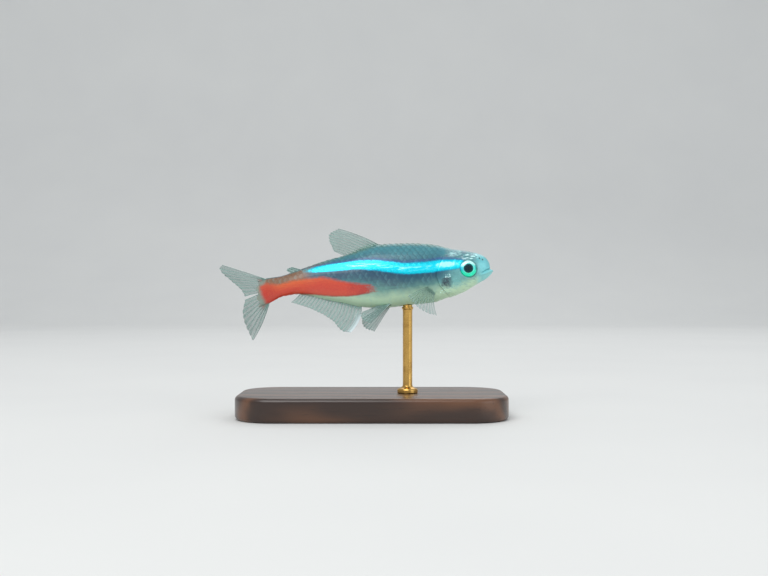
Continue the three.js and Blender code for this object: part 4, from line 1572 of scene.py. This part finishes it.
@dataclass(frozen=True)
class ScaleCoat:
    """The coat of thin, overlapping scales behind the gill covers, one piece for each side."""

    form: BodyForm
    marks: Marks
    pose: SwimPose
    measured_from: float = 4.0
    first: float = 4.2
    last: float = 29.3
    spacing: float = 0.71
    row_height: float = 0.6
    rows_each_way: int = 8
    unevenness: float = 0.02
    furthest: float = 1.04
    behind_gill: float = -0.22
    length: float = 1.16
    height: float = 1.36
    tail_shrinking: float = 0.25
    steps_along: tuple[float, ...] = (0.0, 0.5, 0.85, 1.0)
    steps_across: int = 9
    point_share: float = 0.6
    roundness: float = 1.6
    tucked: float = 0.03
    thickness: float = 0.012
    root_lift: float = -0.072
    rear_lift: float = 0.014
    crown: float = 0.004
    sharp: float = 0.9
    patch: float = 0.003
    seed: int = 34

    def roots(self, rng: np.random.Generator) -> Array:
        """Where the scales grow, in staggered rows.

        Args:
            rng: the source of small differences.

        Returns:
            A station and a way up the flank for each.
        """
        stations = np.arange(self.first, self.last, self.spacing)
        rows = np.arange(-self.rows_each_way, self.rows_each_way + 1)
        s, row = np.meshgrid(stations, rows, indexing="ij")
        s = s + (row % 2) * self.spacing / 2
        way = row * self.row_height
        spread = rng.normal(0, self.unevenness, (2, *s.shape))
        return np.stack([s + spread[0], way + spread[1]], axis=-1).reshape(-1, 2)

    def side_piece(self, side: Side, rng: np.random.Generator) -> Piece:
        """All the scales of one side: each is a thin plate with a round rear edge, laid over the next.

        A plate's place is its root plus a share of its length backwards and half its height up the flank.
        Its lift off the skin grows evenly from its sunk root to its free edge.

        Args:
            side: the side of the fish.
            rng: the source of small differences.

        Returns:
            The joined plates.
        """
        flank = FlankMap(self.form, self.measured_from)
        roots = self.roots(rng)
        share = flank.share(roots[:, 0], roots[:, 1])
        behind = self.marks.behind_gill(self.form.point(roots[:, 0], share * np.pi / 2))
        keep = (np.abs(share) < self.furthest) & (behind > self.behind_gill)
        roots, behind = roots[keep], behind[keep]
        count = len(roots)
        lot = rng.random(count)
        size = 1 - self.tail_shrinking * ease(roots[:, 0], 24.5, 29) + rng.normal(0, self.unevenness, count)

        across_steps = np.linspace(-1, 1, self.steps_across)
        along, across = np.meshgrid(np.array(self.steps_along), across_steps, indexing="ij")
        rear = along * (1 - self.point_share * np.abs(across) ** self.roundness)
        wide = across * (0.8 + 0.2 * np.sin(np.minimum(along * 2.0, 1.0) * np.pi / 2))
        s = roots[:, 0, None, None] + rear * (self.length * size)[:, None, None]
        way = roots[:, 1, None, None] + wide * (self.height / 2 * size)[:, None, None]
        turn = flank.angle(s, way)
        rise = self.rear_lift - self.root_lift
        lift = self.root_lift + rise * rear + self.crown * (1 - across**2) * rear
        surface = self.form.point(np.minimum(s, self.form.length + 0.4), turn)
        surface[..., 0] = s
        out = self.form.outward(np.minimum(s, self.form.length - 0.05), turn)
        tuck = self.tucked * (1 - ease(behind, -0.2, 0.5))
        upper = surface + out * (lift[None] - tuck[:, None, None])[..., None]
        points = np.stack([upper, upper - out * self.thickness], axis=1)
        points[..., 1] *= side.value
        points = points.reshape(-1, 3)

        plate = slab_faces(len(self.steps_along), self.steps_across)
        faces = plate[None] + (np.arange(count) * 2 * along.size)[:, None, None]
        fields = self.marks.fields(points, self.form)
        fields["scale"] = self.own_places(along, across, lot)
        patches = self.bake_map(roots, along, across, side)
        return Piece(self.pose.place(points), [faces.reshape(-1, 4)], fields, patches)

    @staticmethod
    def own_places(along: Array, across: Array, lot: Array) -> Array:
        """Each point's place on its own scale, and a number drawn for that scale.

        Args:
            along: the way from root to rear of a plate's points.
            across: their way from the middle to the sides.
            lot: a number for each scale.

        Returns:
            One vector for each point of all scales.
        """
        own = np.stack([along, across], axis=-1)
        both = np.broadcast_to(own[None, None], (len(lot), 2, *own.shape))
        drawn = np.broadcast_to(lot[:, None, None, None, None], (*both.shape[:-1], 1))
        return np.concatenate([both, drawn], axis=-1).reshape(-1, 3)

    def bake_map(self, roots: Array, along: Array, across: Array, side: Side) -> Array:
        """A patch for each scale at its root's place on an unwrap of the body, one half for each side.

        Args:
            roots: the scales' roots.
            along: the way from root to rear of a plate's points.
            across: their way from the middle to the sides.
            side: the side of the fish.

        Returns:
            A place on the map for each point of all scales.
        """
        own = np.stack([(along - 0.5) * self.patch, across * self.patch / 2], axis=-1)
        u = 0.02 + 0.96 * (roots[:, 0] - self.measured_from) / (self.last - 3.5)
        v = 0.25 + 0.5 * (side is Side.LEFT) + 0.22 * roots[:, 1] / (self.rows_each_way * self.row_height)
        at = np.stack([u, v], axis=-1)[:, None, None, None, :] + own[None, None]
        return np.broadcast_to(at, (len(roots), 2, *at.shape[2:])).reshape(-1, 2)

    def build(self, finish: HideFinish) -> list[bpy.types.Object]:
        """Makes both sides of the coat.

        Args:
            finish: what it wears, the same as the skin.

        Returns:
            The two objects.
        """
        rng = np.random.default_rng(self.seed)
        material = finish.build("moist_scales", scaled=True)
        made = []
        for side in Side:
            piece = self.side_piece(side, rng).make(f"scales_{side.name.lower()}", material)
            piece.data.set_sharp_from_angle(angle=self.sharp)
            made.append(dress(piece, "flesh"))
        return made


@dataclass(frozen=True)
class Dome:
    """A squarish dome that looks out of the head: y = middle + depth * (1 - (r / radius) ^ p) ^ (1 / p).

    Its flat back lies back behind its middle plane, drawn in a little.
    """

    radius: float
    middle: float
    depth: float
    back: float
    roundness: float = 2.8
    back_share: float = 0.98
    first_ring: float = 0.02
    rings: int = 48
    sides: int = 96

    def piece(self, seat: EyeSeat, pose: SwimPose, side: Side) -> Piece:
        """Works out the closed dome.

        Args:
            seat: where the eye sits.
            pose: the swimming pose.
            side: the side of the fish.

        Returns:
            The dome, with the field of the eye.
        """
        r = np.sin(np.linspace(self.first_ring, np.pi / 2, self.rings)) * self.radius
        out = self.middle + self.depth * (1 - (r / self.radius) ** self.roundness) ** (1 / self.roundness)
        r = np.append(r, self.radius * self.back_share)[:, None]
        out = np.append(out, self.middle - self.back)[:, None] * side.value
        turn = np.arange(self.sides) * 2 * np.pi / self.sides
        s, z = seat.station + r * np.cos(turn), seat.height + r * np.sin(turn)
        p = np.stack(np.broadcast_arrays(s, out, z), axis=-1)
        ends = (self.middle + self.depth, self.middle - self.back)
        tips = np.array([[seat.station, side.value * end, seat.height] for end in ends])
        points = np.vstack([p.reshape(-1, 3), tips])
        own = (points[:, [0, 2]] - [seat.station, seat.height]) / seat.radius
        field = np.column_stack([own, np.linalg.norm(own, axis=1)])
        return Piece(pose.place(points), capped_faces(len(r), self.sides), {"eye": field})


@dataclass(frozen=True)
class Eyes:
    """Both eyes: ball with iris, the lens in the pupil, a clear cornea and the rim of the orbit."""

    seat: EyeSeat
    form: BodyForm
    pose: SwimPose
    ball_gap: float = 0.05
    ball_back: float = 0.25
    lens_radius: float = 0.56
    lens_depth: float = 0.1
    lens_back: float = 0.12
    cornea_share: float = 0.985
    cornea_gap: float = 0.03
    cornea_back: float = 0.1
    roll_width: float = 0.065
    roll_height: float = 0.045
    roll_sunk: float = 0.015
    roll_steps: int = 160
    roll_sides: int = 16

    def rim(self, side: Side, marks: Marks) -> Piece:
        """The orbit's soft rim: a flattened roll round the eye that follows the head's surface.

        Args:
            side: the side of the fish.
            marks: where the skin's colours lie.

        Returns:
            The closed roll.
        """
        turn = (np.arange(self.roll_steps) * 2 * np.pi / self.roll_steps)[:, None]
        roll = (np.arange(self.roll_sides) * 2 * np.pi / self.roll_sides)[None, :]
        radius = self.seat.rim_radius + self.roll_width * np.cos(roll)
        s, z = self.seat.station + radius * np.cos(turn), self.seat.height + radius * np.sin(turn)
        middle = self.form.middle(s)
        up = z - middle
        reach = np.where(up > 0, self.form.back(s) - middle, middle - self.form.belly(s))
        skin = self.form.point(s, np.arcsin(np.clip(up / reach, -0.99, 0.99)))[..., 1]
        y = skin - self.roll_sunk + self.roll_height * np.sin(roll)
        points = np.stack([s, side.value * y, z], axis=-1).reshape(-1, 3)
        faces = grid_faces(self.roll_steps + 1, self.roll_sides, round_it=True) % len(points)
        return Piece(self.pose.place(points), [faces], marks.fields(points, self.form))

    def build(
        self, marks: Marks, hide: HideFinish, iris: IrisFinish, pupil: PupilFinish, film: FilmFinish
    ) -> None:
        """Makes both eyes.

        Args:
            marks: where the skin's colours lie, for the rims.
            hide: the skin's finish.
            iris: the eyeball's finish.
            pupil: the lens's finish.
            film: the cornea's finish.
        """
        middle, radius, depth = self.seat.middle(self.form), self.seat.radius, self.seat.depth
        lens_middle = middle + depth - self.lens_depth
        domes = {
            "iris": Dome(radius, middle, depth - self.ball_gap, self.ball_back),
            "pupil": Dome(self.lens_radius, lens_middle, self.lens_depth, self.lens_back),
            "cornea": Dome(radius * self.cornea_share, middle, depth + self.cornea_gap, self.cornea_back),
        }
        looks = {name: finish.build(name) for name, finish in zip(domes, (iris, pupil, film))}
        skin = hide.build("orbit_rim", scaled=False)
        for side in Side:
            word = side.name.lower()
            nodes = {"iris": (f"eye_{word}",)}
            for name, dome in domes.items():
                thing = dome.piece(self.seat, self.pose, side).make(f"{name}_{word}", looks[name])
                dress(thing, "eye", *nodes.get(name, ()))
            dress(self.rim(side, marks).make(f"orbit_rim_{word}", skin), "flesh")


@dataclass(frozen=True)
class Fin:
    """One fin: branching rays in a thin membrane, from a root line in the body to a free edge.

    across runs from 0 at the leading ray to 1 at the last, and along from 0 at the root to 1 at the edge.
    """

    name: str
    node: str
    rays: int
    root: Track
    edge: Track
    finish: FinFinish
    bow: tuple[float, float, float] = (0.0, 0.0, 0.0)
    sway: Callable[[Array, Array], Array] = lambda across, along: 0 * along
    lean: tuple[float, float, float] = (0.0, 1.0, 0.0)
    columns_per_ray: int = 18
    rows: int = 44
    membrane: float = 0.022
    ray_root: float = 0.085
    ray_tip: float = 0.022
    ray_width: float = 0.17
    ray_narrowing: float = 0.115
    first_fork: float = 0.15
    front_fork: float = 0.03
    second_fork: float = 0.075
    joints: float = 34.0
    root_swelling: float = 0.03
    ripple: float = 0.05
    fray: float = 0.03
    seed: int = 1

    def sheet(self, across: Array, along: Array) -> Array:
        """The fin's middle surface: straight from root to edge, bowed near the front, swayed and rippled.

        Args:
            across: the way from the first ray to the last.
            along: the way from root to edge.

        Returns:
            Places in the straight frame.
        """
        root, edge = self.root(across), self.edge(across)
        p = root + (edge - root) * along[..., None]
        p = p + np.array(self.bow) * (4 * along * (1 - along) * (1 - across) ** 2)[..., None]
        wave = self.ripple * np.sin(across * 9 + along * 4) * along * np.sin(np.pi * across)
        return p + np.array(self.lean) * (self.sway(across, along) + wave)[..., None]

    def ray_strength(self, across: Array, along: Array) -> tuple[Array, Array]:
        """How much of a ray each point is: rays fork once past half way and again near the edge.

        Args:
            across: the way from the first ray to the last.
            along: the way from root to edge.

        Returns:
            The strength from 0 to 1, and which ray is nearest.
        """
        cell = across * (self.rays - 1)
        ray = np.rint(cell)
        off = cell - ray
        forks = ray > 1.5
        first = np.where(forks, self.first_fork, self.front_fork) * ease(along, 0.4, 0.8)
        second = np.where(forks, self.second_fork, 0.0) * ease(along, 0.68, 1.0)
        width = self.ray_width - self.ray_narrowing * ease(along, 0.0, 0.75)
        branches = [peak(off - a * first - b * second, 0.0, width) for a in (-1, 1) for b in (-1, 1)]
        return peak(off, 0.0, 1.0) * np.max(branches, axis=0), ray

    def grid(self) -> tuple[Array, Array, Array]:
        """Where the points lie: each ray ends a little differently and the membrane draws back between.

        Returns:
            The way across, the even way from root to edge and the true way along.
        """
        rng = np.random.default_rng(self.seed)
        columns = (self.rays - 1) * self.columns_per_ray + 1
        across, share = np.meshgrid(np.linspace(0, 1, columns), np.linspace(0, 1, self.rows))
        at_tip, ray = self.ray_strength(across, np.ones_like(across))
        length = 1 - self.fray * (0.4 + rng.random(self.rays))[ray.astype(int)] * 0.6
        drawn_back = self.fray * (1 - at_tip) * np.sin(np.pi * np.clip(across, 0.02, 0.98)) ** 0.3
        return across, share, share * (1 + (length - 1 - drawn_back) * share)

    def build(self, pose: SwimPose) -> bpy.types.Object:
        """Makes the fin as a closed sheet whose half thickness is the membrane's plus the rays'.

        Args:
            pose: the swimming pose.

        Returns:
            The object.
        """
        across, share, along = self.grid()
        strength, ray = self.ray_strength(across, along)
        p = self.sheet(across, along)
        out = unit(np.cross(np.gradient(p, axis=0), np.gradient(p, axis=1)))
        joint = peak(np.sin(along * self.joints * np.pi + ray), 0.0, 0.22) * ease(along, 0.3, 0.45)
        lead = peak(across * (self.rays - 1), 0.0, 1.1)
        thick = self.ray_root + (self.ray_tip - self.ray_root) * ease(along, 0.0, 0.9)
        rays = thick * strength * (1 + 0.35 * lead) * (1 - 0.12 * joint)
        swelling = self.root_swelling * (1 - ease(along, 0, 0.1))
        half = (self.membrane + rays + swelling) * (1 - 0.6 * ease(share, 0.94, 1.0))
        points = np.stack([p + out * half[..., None], p - out * half[..., None]])
        twice = (2, *across.shape)
        web = np.stack([np.broadcast_to(v, twice) for v in (strength, along, across)], axis=-1)
        extra = np.stack([np.broadcast_to(v, twice) for v in (joint * strength, lead, ray)], axis=-1)
        faces = [slab_faces(*across.shape)]
        piece = Piece(pose.place(points.reshape(-1, 3)), faces, {"web": web, "ray": extra})
        return dress(piece.make(self.name, self.finish.build(self.name + "_web")), "fin", self.node)


@dataclass(frozen=True)
class FinSet:
    """All the fins, rooted from the body's own sizes."""

    form: BodyForm
    pose: SwimPose
    sink: float = 0.22
    tail_middle: float = -0.22
    tail_gap: float = 0.02
    twist_reach: float = 5.0
    upper_twist: float = -10.0
    lower_twist: float = 24.0
    pectoral_start: float = 7.2
    pectoral_length: float = 0.6
    pectoral_angle: float = -48.0
    pectoral_slant: float = 16.0
    pelvic_start: float = 12.85
    pelvic_length: float = 1.3
    plain: FinFinish = FinFinish()
    adipose: FinFinish = FinFinish(clearness=0.45)
    tail: FinFinish = FinFinish(root=srgb(214, 84, 62), root_share=0.12)
    anal: FinFinish = FinFinish(lead_highlight_share=1.0)
    side: FinFinish = FinFinish(clearness=0.84, ray_density=0.38)

    def on_back(self, start: float, end: float) -> Track:
        """A root line sunk a little into the back, between two stations."""
        return lambda t: self.on_middle(start + (end - start) * t, self.form.back, -self.sink)

    def on_belly(self, start: float, end: float) -> Track:
        """A root line sunk a little into the belly, between two stations."""
        return lambda t: self.on_middle(start + (end - start) * t, self.form.belly, self.sink)

    @staticmethod
    def on_middle(s: Array, outline: Line, lift: float) -> Array:
        """Places on the body's middle plane, a lift above an outline."""
        return np.stack([s, 0 * s, outline(s) + lift], axis=-1)

    def twisted(self, edge: Track, degrees: float) -> Track:
        """A lobe's edge, turned out of the stalk's own plane."""
        return lambda t: self.turned(edge(t), degrees)

    def turned(self, p: Array, degrees: float) -> Array:
        """Turns places about the stalk's end, more the further they are from the tail's middle.

        Args:
            p: places in the straight frame.
            degrees: how far the furthest turn.

        Returns:
            The turned places.
        """
        off = np.abs(p[..., 2] - self.tail_middle) / self.twist_reach
        turn = np.radians(degrees) * ease(off, 0.0, 1.0)
        run = p[..., 0] - self.form.length
        s = self.form.length + run * np.cos(turn)
        return np.stack([s, p[..., 1] + run * np.sin(turn), p[..., 2]], axis=-1)

    def pectoral_root(self, side: Side) -> Track:
        """The root of a pectoral fin: a short slanting line low behind the gill cover.

        Args:
            side: the side of the fish.

        Returns:
            The root line.
        """
        mirror = np.array([1, side.value, 1])

        def read(t: Array) -> Array:
            """Reads the root line."""
            s = self.pectoral_start + self.pectoral_length * t
            angle = np.radians(self.pectoral_angle + self.pectoral_slant * t)
            return self.form.point(s, angle, -self.sink) * mirror

        return read

    def pelvic_root(self, side: Side) -> Track:
        """The root of a pelvic fin: a short line beside the belly's middle.

        Args:
            side: the side of the fish.

        Returns:
            The root line.
        """

        def read(t: Array) -> Array:
            """Reads the root line."""
            s = self.pelvic_start + self.pelvic_length * t
            height = self.form.belly(s) + self.sink + 0.12 * (1 - t)
            return np.stack([s, side.value * (0.75 - 0.33 * t), height], axis=-1)

        return read

    def middle_fins(self) -> list[Fin]:
        """The fins on the fish's middle plane: dorsal, adipose, anal and both lobes of the tail fin.

        Returns:
            The fins.
        """
        end, inner = self.form.length, self.form.length - 0.1
        high, low = self.tail_middle + self.tail_gap, self.tail_middle - self.tail_gap
        upper_edge = track(((35.9, 0, 5.5), (36.5, 0, 5.3), (35, 0, 3.2), (33.3, 0, 1.4), (32.7, 0, 0.25)))
        lower_edge = track((
            (35.1, 0, -5), (35.9, 0, -4.7), (34.8, 0, -2.8), (33.4, 0, -1.2), (32.7, 0, -0.2),
        ))
        return [
            Fin(
                "fin_dorsal", "dorsal_fin", 11, self.on_back(13.5, 18.0),
                track(((18.9, 0, 6.62), (20.1, 0, 6.1), (20.25, 0, 5.3), (19.95, 0, 4.5), (19.6, 0, 3.65))),
                self.plain, bow=(-0.1, 0, 0.15),
                sway=lambda across, along: 0.5 * along**2 * (1 - 0.4 * across), rows=56, seed=3,
            ),
            Fin(
                "fin_adipose", "adipose_fin", 4, self.on_back(23.7, 25.1),
                track(((25.2, 0, 2.15), (25.85, 0, 2.0), (25.9, 0, 1.75))),
                self.adipose, ray_root=0.05, ray_tip=0.0, membrane=0.06, rows=24, ripple=0.0, seed=4,
            ),
            Fin(
                "fin_anal", "anal_fin", 20, self.on_belly(16.5, 24.1),
                track((
                    (18.2, 0, -7.15), (19.2, 0, -6.85), (20.4, 0, -5.35), (22.4, 0, -3.95), (25.4, 0, -2.5),
                )),
                self.anal, bow=(-0.45, 0, -0.1), sway=lambda across, along: -0.45 * along**2,
                columns_per_ray=14, seed=5,
            ),
            Fin(
                "fin_tail_upper", "tail_fin_upper", 10,
                track(((28.7, 0, 1.25), (end, 0, 1.3), (inner, 0, 0.9), (inner, 0, high))),
                self.twisted(upper_edge, self.upper_twist),
                self.tail, bow=(0, 0, 0.05), rows=64, seed=6,
            ),
            Fin(
                "fin_tail_lower", "tail_fin_lower", 9,
                track(((28.6, 0, -1.7), (end, 0, -1.75), (inner, 0, -1.4), (inner, 0, low))),
                self.twisted(lower_edge, self.lower_twist),
                self.tail, bow=(-0.4, 0, -0.7), rows=64, seed=7,
            ),
        ]

    def paired_fins(self) -> list[Fin]:
        """The pectoral and pelvic fins, each in its own stance.

        Returns:
            The fins.
        """
        right, left = Side.RIGHT, Side.LEFT
        return [
            Fin(
                "fin_pectoral_right", "pectoral_fin_right", 11, self.pectoral_root(right),
                track(((7.3, -3.9, -6.2), (8.4, -4.3, -5.9), (9.8, -4.2, -4.8), (10.7, -3.7, -3.5))),
                self.side, lean=(1, 0, 0),
                sway=lambda across, along: 0.25 * np.sin(along * np.pi), seed=8,
            ),
            Fin(
                "fin_pectoral_left", "pectoral_fin_left", 11, self.pectoral_root(left),
                track(((10.9, 3.6, -3.7), (11.9, 3.5, -3.1), (12.2, 3.2, -2.2), (11.8, 2.9, -1.4))),
                self.side, sway=lambda across, along: 0.25 * np.sin(along * np.pi), seed=9,
            ),
            Fin(
                "fin_pelvic_right", "pelvic_fin_right", 8, self.pelvic_root(right),
                track(((15.5, -2, -6.35), (16.4, -2.05, -5.9), (16.7, -1.8, -5.3), (16.5, -1.4, -4.7))),
                self.plain, sway=lambda across, along: -0.15 * np.sin(along * np.pi), seed=10,
            ),
            Fin(
                "fin_pelvic_left", "pelvic_fin_left", 8, self.pelvic_root(left),
                track(((15.2, 1.4, -7.0), (16.2, 1.5, -6.55), (16.7, 1.35, -5.9), (16.6, 1.1, -5.2))),
                self.plain, sway=lambda across, along: 0.15 * np.sin(along * np.pi), seed=11,
            ),
        ]

    def build(self) -> list[bpy.types.Object]:
        """Makes every fin."""
        return [fin.build(self.pose) for fin in self.middle_fins() + self.paired_fins()]


@dataclass(frozen=True)
class Stand:
    """The flat base and the rod, in the places of their solids."""

    pose: SwimPose
    form: BodyForm
    corner: float = 5.0
    edge: float = 0.55
    edge_steps: int = 9
    base_sides: int = 160
    rod_radius: float = 0.6
    rod_station: float = 10.7
    rod_sunk: float = 0.12
    rod_sides: int = 64
    steps_between: int = 5
    collar_radius: float = 1.3
    collar_height: float = 0.8
    collar_sunk: float = 0.05

    def base(self) -> Piece:
        """The base: a rounded rectangle, drawn in by quarter circles at its upper and lower edges.

        Returns:
            The closed base.
        """
        low, high = (np.array(corner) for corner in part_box("stand_base"))
        half = (high - low) / 2 / MM
        turn = (np.arange(self.base_sides) + 0.5) * 2 * np.pi / self.base_sides
        quarter = np.linspace(0, np.pi / 2, self.edge_steps)
        rising, falling = self.edge * (1 - np.sin(quarter)), self.edge * (1 - np.cos(quarter))
        inset = np.concatenate([rising, falling])
        height = np.concatenate([falling, 2 * half[2] - rising]) - half[2]
        round_it = np.stack([np.cos(turn), np.sin(turn)], axis=-1)
        flat = np.sign(round_it) * (half[:2] - self.corner)
        ring = flat + (self.corner - inset[:, None, None]) * round_it
        z = np.broadcast_to(height[:, None, None], (*ring.shape[:2], 1))
        tips = np.array([[0, 0, -half[2]], [0, 0, half[2]]])
        rings = np.concatenate([ring, z], axis=-1).reshape(-1, 3)
        points = np.vstack([rings, tips]) * MM + (high + low) / 2
        return Piece(points, capped_faces(len(height), self.base_sides), {})

    def profile(self, foot: float, top: float) -> Array:
        """The rod's outline from its axis at the foot over the collar and the cup to its axis at the top.

        Args:
            foot: the height of its foot.
            top: the height of its top.

        Returns:
            Radius and height of each corner.
        """
        c, r, neck = self.collar_radius, self.rod_radius, foot + self.collar_height
        return np.array([
            (0, foot), (c - 0.08, foot), (c, foot + 0.13), (c, foot + 0.5), (c - 0.08, foot + 0.62),
            (c - 0.3, foot + 0.7), (r + 0.22, foot + 0.78), (r + 0.06, neck + 0.1), (r, neck + 0.3),
            (r, top - 1.0), (r + 0.02, top - 0.7), (r + 0.12, top - 0.5), (r + 0.12, top - 0.35),
            (r, top - 0.3), (r, top), (0, top),
        ])

    def rod(self) -> Piece:
        """The rod: a turned profile that stands in a collar on the base and ends in a cup at the belly.

        Returns:
            The closed rod.
        """
        low, high = (np.array(corner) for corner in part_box("stand_rod"))
        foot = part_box("stand_base")[1][2] / MM - self.collar_sunk
        belly = self.form.belly(np.array(self.rod_station)) + self.rod_sunk
        top = float(self.pose.place(np.array([self.rod_station, 0.0, belly]))[2]) / MM
        corners = self.profile(foot, top)
        steps = self.steps_between
        between = [np.linspace(a, b, steps, endpoint=False) for a, b in zip(corners[:-1], corners[1:])]
        fine = np.vstack(between)[steps:-steps]
        turn = np.arange(self.rod_sides) * 2 * np.pi / self.rod_sides
        radius, height = fine[:, :1], fine[:, 1:]
        ring = np.stack([radius * np.cos(turn), radius * np.sin(turn), height + 0 * turn], axis=-1)
        tips = np.array([[0, 0, foot], [0, 0, top]])
        centre = np.append((low[:2] + high[:2]) / 2, 0.0)
        points = np.vstack([ring.reshape(-1, 3), tips]) * MM + centre
        return Piece(points, capped_faces(len(fine), self.rod_sides), {})

    def build(self, wood: WoodFinish, brass: BrassFinish) -> None:
        """Makes the stand."""
        dress(self.base().make("base_of_stand", wood.build("stained_wood")), "stand_wood", "stand_base")
        dress(self.rod().make("rod_of_stand", brass.build("brushed_brass")), "stand_brass", "stand_rod")


@dataclass(frozen=True)
class Lamp:
    """A soft square lamp that looks at the fish. Lengths are in metres."""

    name: str
    place: tuple[float, float, float]
    size: float
    watts: float
    tint: tuple[float, float, float]
    target: tuple[float, float, float] = (0.0, 0.0, 0.016)

    def build(self) -> None:
        """Hangs the lamp so that its own minus Z axis points at its target."""
        light = bpy.data.lights.new(self.name, "AREA")
        light.size = self.size
        light.energy = self.watts
        light.color = self.tint
        thing = bpy.data.objects.new(self.name, light)
        thing.location = self.place
        aim = Vector(self.target) - Vector(self.place)
        thing.rotation_euler = aim.to_track_quat("-Z", "Y").to_euler()
        bpy.context.scene.collection.objects.link(thing)


@dataclass(frozen=True)
class Studio:
    """A pale paper sweep, soft light and the camera at the photo's viewing angle."""

    camera_at: tuple[float, float, float] = (1.51, -134.0, 16.28)
    lens_mm: float = 49.37
    sensor_mm: float = 36.0
    nearest: float = 0.005
    sweep_width: float = 1.6
    sweep_front: float = -0.6
    sweep_bend: float = 0.32
    bend_radius: float = 0.2
    bend_steps: int = 25
    sweep_height: float = 0.7
    lamps: tuple[Lamp, ...] = (
        Lamp("key_light", (-0.12, -0.26, 0.36), 0.28, 1.1, (1.0, 0.99, 0.97)),
        Lamp("fill_light", (0.34, -0.22, 0.14), 0.3, 0.32, (0.96, 0.99, 1.0)),
        Lamp("back_light", (0.05, 0.26, 0.28), 0.25, 0.25, (1.0, 1.0, 1.0)),
    )
    air: Colour = (0.93, 0.96, 1.0, 1.0)
    air_strength: float = 0.58

    def sweep(self, finish: StageFinish) -> None:
        """Makes the floor and backdrop: flat, then a quarter circle, then upright.

        Args:
            finish: the paper's finish.
        """
        quarter = np.linspace(0, np.pi / 2, self.bend_steps)
        y = np.append(self.sweep_front, self.sweep_bend + self.bend_radius * np.sin(quarter))
        z = np.append(0.0, self.bend_radius * (1 - np.cos(quarter)))
        y, z = np.append(y, y[-1]), np.append(z, self.sweep_height)
        x = np.array([-0.5, 0.5]) * self.sweep_width
        points = np.stack(np.broadcast_arrays(x[None, :], y[:, None], z[:, None]), axis=-1)
        mesh = bpy.data.meshes.new("paper_sweep")
        mesh.from_pydata(points.reshape(-1, 3), [], grid_faces(len(y), 2).tolist())
        mesh.polygons.foreach_set("use_smooth", np.full(len(mesh.polygons), True))
        mesh.update()
        mesh.materials.append(finish.build("studio_paper"))
        paper = bpy.data.objects.new("paper_sweep", mesh)
        bpy.context.scene.collection.objects.link(paper)

    def light(self) -> None:
        """Hangs the lamps and fills the air with a pale, even light."""
        for lamp in self.lamps:
            lamp.build()
        world = bpy.data.worlds.new("studio_air")
        world.use_nodes = True
        air = world.node_tree.nodes["Background"]
        air.inputs["Color"].default_value = self.air
        air.inputs["Strength"].default_value = self.air_strength
        bpy.context.scene.world = world
        bpy.context.scene.view_settings.view_transform = "Standard"

    def camera(self) -> None:
        """Sets up the camera, level and square to the fish."""
        camera = bpy.data.cameras.new("camera")
        camera.lens = self.lens_mm
        camera.sensor_width = self.sensor_mm
        camera.clip_start = self.nearest
        eye = bpy.data.objects.new("camera", camera)
        eye.location = np.array(self.camera_at) * MM
        eye.rotation_euler = (np.pi / 2, 0.0, 0.0)
        bpy.context.scene.collection.objects.link(eye)
        bpy.context.scene.camera = eye

    def build(self, finish: StageFinish) -> None:
        """Makes the studio.

        Args:
            finish: the paper's finish.
        """
        self.sweep(finish)
        self.light()
        self.camera()


def main() -> None:
    """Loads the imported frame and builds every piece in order."""
    logging.basicConfig(level=logging.INFO, format="%(message)s")
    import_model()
    form, marks, pose, seat = BodyForm(), Marks(), SwimPose(), EyeSeat()
    hide = HideFinish()
    Studio().build(StageFinish())
    Skin(form, marks, HeadRelief(marks, seat), pose).build(hide)
    ScaleCoat(form, marks, pose).build(hide)
    Eyes(seat, form, pose).build(marks, hide, IrisFinish(), PupilFinish(), FilmFinish())
    FinSet(form, pose).build()
    Stand(pose, form).build(WoodFinish(), BrassFinish())


if __name__ == "__main__":
    main()
